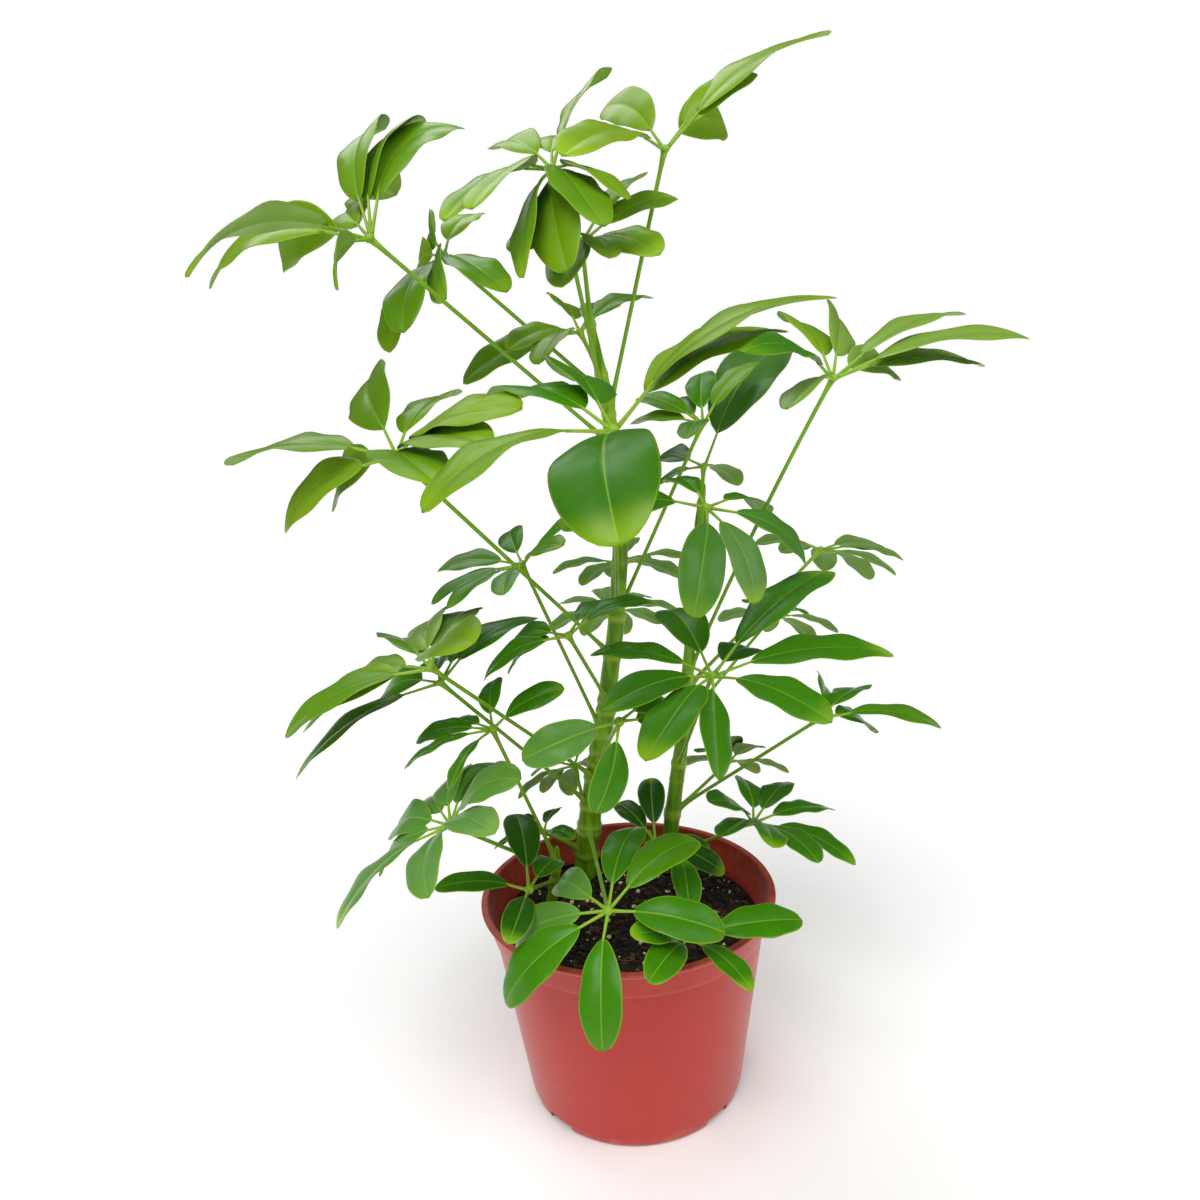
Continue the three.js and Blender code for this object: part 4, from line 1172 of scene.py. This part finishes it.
class PLANT_OT_stems(bpy.types.Operator):
    """Grows the green stems with their swollen leaf scars and growing tips"""
    bl_idname = "plant.stems"
    bl_label = "Stems"

    def execute(self, context):
        material = stem_material()
        swell = context.scene.plant_stems.scar_swell
        for stem, bends in STEMS.items():
            rng = random.Random(stem)
            joints = [leaf["joint"] for leaf in LEAVES if leaf["stem"] == stem]
            old_scars = [height + rng.uniform(-6, 6)
                         for height in range(OLD_SCAR_START, int(bends[-1][2]), OLD_SCAR_SPACING)
                         if all(abs(height - joint) > 10 for joint in joints)]
            foot, top = bends[0][2] - 2.0, bends[-1][2]
            count = int((top - foot) / RING_SPACING)
            path, notes = [], []
            for step in range(count + 1):
                height = foot + (top - foot) * step / count
                scar = max([math.exp(-((height - joint) / 1.7) ** 2) for joint in joints]
                           + [0.4 * math.exp(-((height - old) / 0.9) ** 2)
                              for old in old_scars] + [0.0])
                middle, radius = smooth_stem(stem, height)
                radius *= 1 + swell * scar + 0.015 * math.sin(height * 0.21)
                flare = 0.12 * math.exp(-(height - foot) / 7.0)
                closing = min(1.0, math.sqrt(max(0.0, (top - height) / 2.2)) + 0.12)
                path.append((middle * MM, radius * (1 + flare) * closing * MM))
                notes.append((scar, (height - foot) / STEM_REACH, 0.0))
            points = [point for point, _ in path]
            ways = [(points[min(i + 1, count)] - points[max(i - 1, 0)]).normalized()
                    for i in range(count + 1)]
            bm = bmesh.new()
            stalk = noted(bm, "stalk")
            made = grow_tube(bm, [(point, way, radius) for (point, radius), way
                                  in zip(path, ways)], STEM_SIDES)
            for i, vert in enumerate(made):
                vert[stalk] = notes[i // STEM_SIDES]
            obj = plant_object("bark_" + stem, bm, [material])
            stand_for(obj, "stem_" + stem)
        return {"FINISHED"}


def smooth_stem(stem, height):
    """A stem's middle and radius, eased over its bends."""
    window = 5.0
    low, high = STEMS[stem][0][2], STEMS[stem][-1][2]
    samples = [stem_at(stem, min(high, max(low - 3, height + window * k / 2)))
               for k in (-2, -1, 0, 1, 2)]
    middle = sum((sample[0] for sample in samples), Vector()) / len(samples)
    centre, radius = stem_at(stem, height)
    return Vector((middle.x, middle.y, centre.z)), radius


MOST_STRAY = 0.012              # how far a leaf may reach past its CAD node's box


class PLANT_OT_leaves(bpy.types.Operator):
    """Grows every palmate leaf: petiole, hub, leafstalks and glossy blades"""
    bl_idname = "plant.leaves"
    bl_label = "Leaves"

    def execute(self, context):
        materials = [stalk_material(), blade_material("Blade upper side", False),
                     blade_material("Blade underside", True)]
        for leaf in LEAVES:
            obj = grow_leaf(leaf, materials)
            low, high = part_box(leaf["name"])
            for axis in range(3):
                values = [vert.co[axis] for vert in obj.data.vertices]
                if min(values) < low[axis] - MOST_STRAY or max(values) > high[axis] + MOST_STRAY:
                    raise RuntimeError(obj.name + " strays from its place")
        return {"FINISHED"}


KEY_PLACE, FILL_PLACE, BACK_PLACE = (-0.35, -0.9, 1.5), (1.1, -0.7, 1.3), (-0.5, 1.0, 1.25)
BACK_SHARE = 0.9                # of the fill light's strength
MIRRORED_SKY = 0.18             # how much of the surroundings glossy surfaces mirror
CAMERA_PLACE = (0, -0.4374, 0.3565)
CAMERA_YAW, CAMERA_PITCH, CAMERA_ROLL = -0.015, 0.206, -0.053       # in radians


class PLANT_OT_stage(bpy.types.Operator):
    """Lays the pale floor and sets the soft light and the camera"""
    bl_idname = "plant.stage"
    bl_label = "Stage"

    def execute(self, context):
        sizes = context.scene.plant_stage
        bm = bmesh.new()
        bmesh.ops.create_grid(bm, x_segments=1, y_segments=1, size=sizes.floor / 2,
                              matrix=Matrix.Translation((0, 0, POT_LOW[2] - 0.0002)))
        floor = plant_object("floor", bm, [self.floor_material()])
        self.light("key", KEY_PLACE, sizes.key)
        self.light("fill", FILL_PLACE, sizes.fill)
        self.light("back", BACK_PLACE, BACK_SHARE * sizes.fill)
        world = bpy.data.worlds.new("Studio")
        context.scene.world = world
        world.use_nodes = True
        tree = world.node_tree
        seen = put(tree, "ShaderNodeLightPath").outputs["Is Camera Ray"]
        mirrored = put(tree, "ShaderNodeLightPath").outputs["Is Glossy Ray"]
        lit = spread(tree, mirrored, 0.0, 1.0, sizes.sky, MIRRORED_SKY * sizes.sky)
        strength = maths(tree, "MAXIMUM", seen, lit)
        background = tree.nodes["Background"]
        background.inputs["Color"].default_value = (1, 1, 1, 1)
        tree.links.new(strength, background.inputs["Strength"])
        context.scene.view_settings.view_transform = "Standard"
        self.camera(context)
        return {"FINISHED"}

    def floor_material(self):
        """A matt near-white with faint clouds."""
        material, tree, shader, place = new_material("Pale floor")
        clouds = grain(tree, place, 6.0, 3.0)
        colour = blend(tree, clouds, (0.9, 0.9, 0.9), (0.94, 0.94, 0.94))
        tree.links.new(colour, shader.inputs["Base Color"])
        shader.inputs["Roughness"].default_value = 0.6
        return material

    def light(self, name, place, strength):
        """A wide, distant soft light that shines from a place towards the plant."""
        lamp = bpy.data.lights.new(name, "SUN")
        lamp.angle = bpy.context.scene.plant_stage.softness
        lamp.energy = strength
        obj = bpy.data.objects.new(name, lamp)
        obj.location = place
        obj.rotation_euler = (-obj.location).to_track_quat("-Z", "Y").to_euler()
        bpy.context.scene.collection.objects.link(obj)

    def camera(self, context):
        """Stands in front of the leaves and looks slightly down."""
        yaw, pitch, roll = CAMERA_YAW, CAMERA_PITCH, CAMERA_ROLL
        forward = Vector((math.sin(yaw) * math.cos(pitch), math.cos(yaw) * math.cos(pitch),
                          -math.sin(pitch)))
        right = Vector((math.cos(yaw), -math.sin(yaw), 0))
        up = right.cross(forward)
        turned_right = right * math.cos(roll) + up * math.sin(roll)
        turned_up = up * math.cos(roll) - right * math.sin(roll)
        lens = bpy.data.cameras.new("camera")
        lens.lens = 27
        lens.sensor_width = 36
        lens.clip_start = 0.01
        camera = bpy.data.objects.new("camera", lens)
        axes = Matrix((turned_right, turned_up, -forward)).transposed()
        camera.matrix_world = Matrix.Translation(CAMERA_PLACE) @ axes.to_4x4()
        context.scene.collection.objects.link(camera)
        context.scene.camera = camera


class PLANT_PT_panel(bpy.types.Panel):
    """The plant's pieces, each with its button"""
    bl_idname = "PLANT_PT_panel"
    bl_label = "Umbrella tree"
    bl_space_type = "VIEW_3D"
    bl_region_type = "UI"
    bl_category = "Umbrella tree"

    def draw(self, context):
        for operator in OPERATORS:
            self.layout.operator(operator.bl_idname)


SETTINGS = {
    "plant_pot": PotSizes, "plant_soil": SoilSizes, "plant_stems": StemSizes,
    "plant_leaves": LeafSizes, "plant_stage": StageSizes,
}
OPERATORS = (PLANT_OT_pot, PLANT_OT_soil, PLANT_OT_soil_bits, PLANT_OT_stems,
             PLANT_OT_leaves, PLANT_OT_stage)


def register():
    for item in (*SETTINGS.values(), *OPERATORS, PLANT_PT_panel):
        bpy.utils.register_class(item)
    for name, group in SETTINGS.items():
        setattr(bpy.types.Scene, name, bpy.props.PointerProperty(type=group))


def unregister():
    for name in SETTINGS:
        delattr(bpy.types.Scene, name)
    for item in reversed((*SETTINGS.values(), *OPERATORS, PLANT_PT_panel)):
        bpy.utils.unregister_class(item)


def main():
    register()
    make_shared_groups()
    bpy.ops.plant.pot()
    bpy.ops.plant.soil()
    bpy.ops.plant.soil_bits()
    bpy.ops.plant.stems()
    bpy.ops.plant.leaves()
    bpy.ops.plant.stage()


if __name__ == "__main__":
    main()
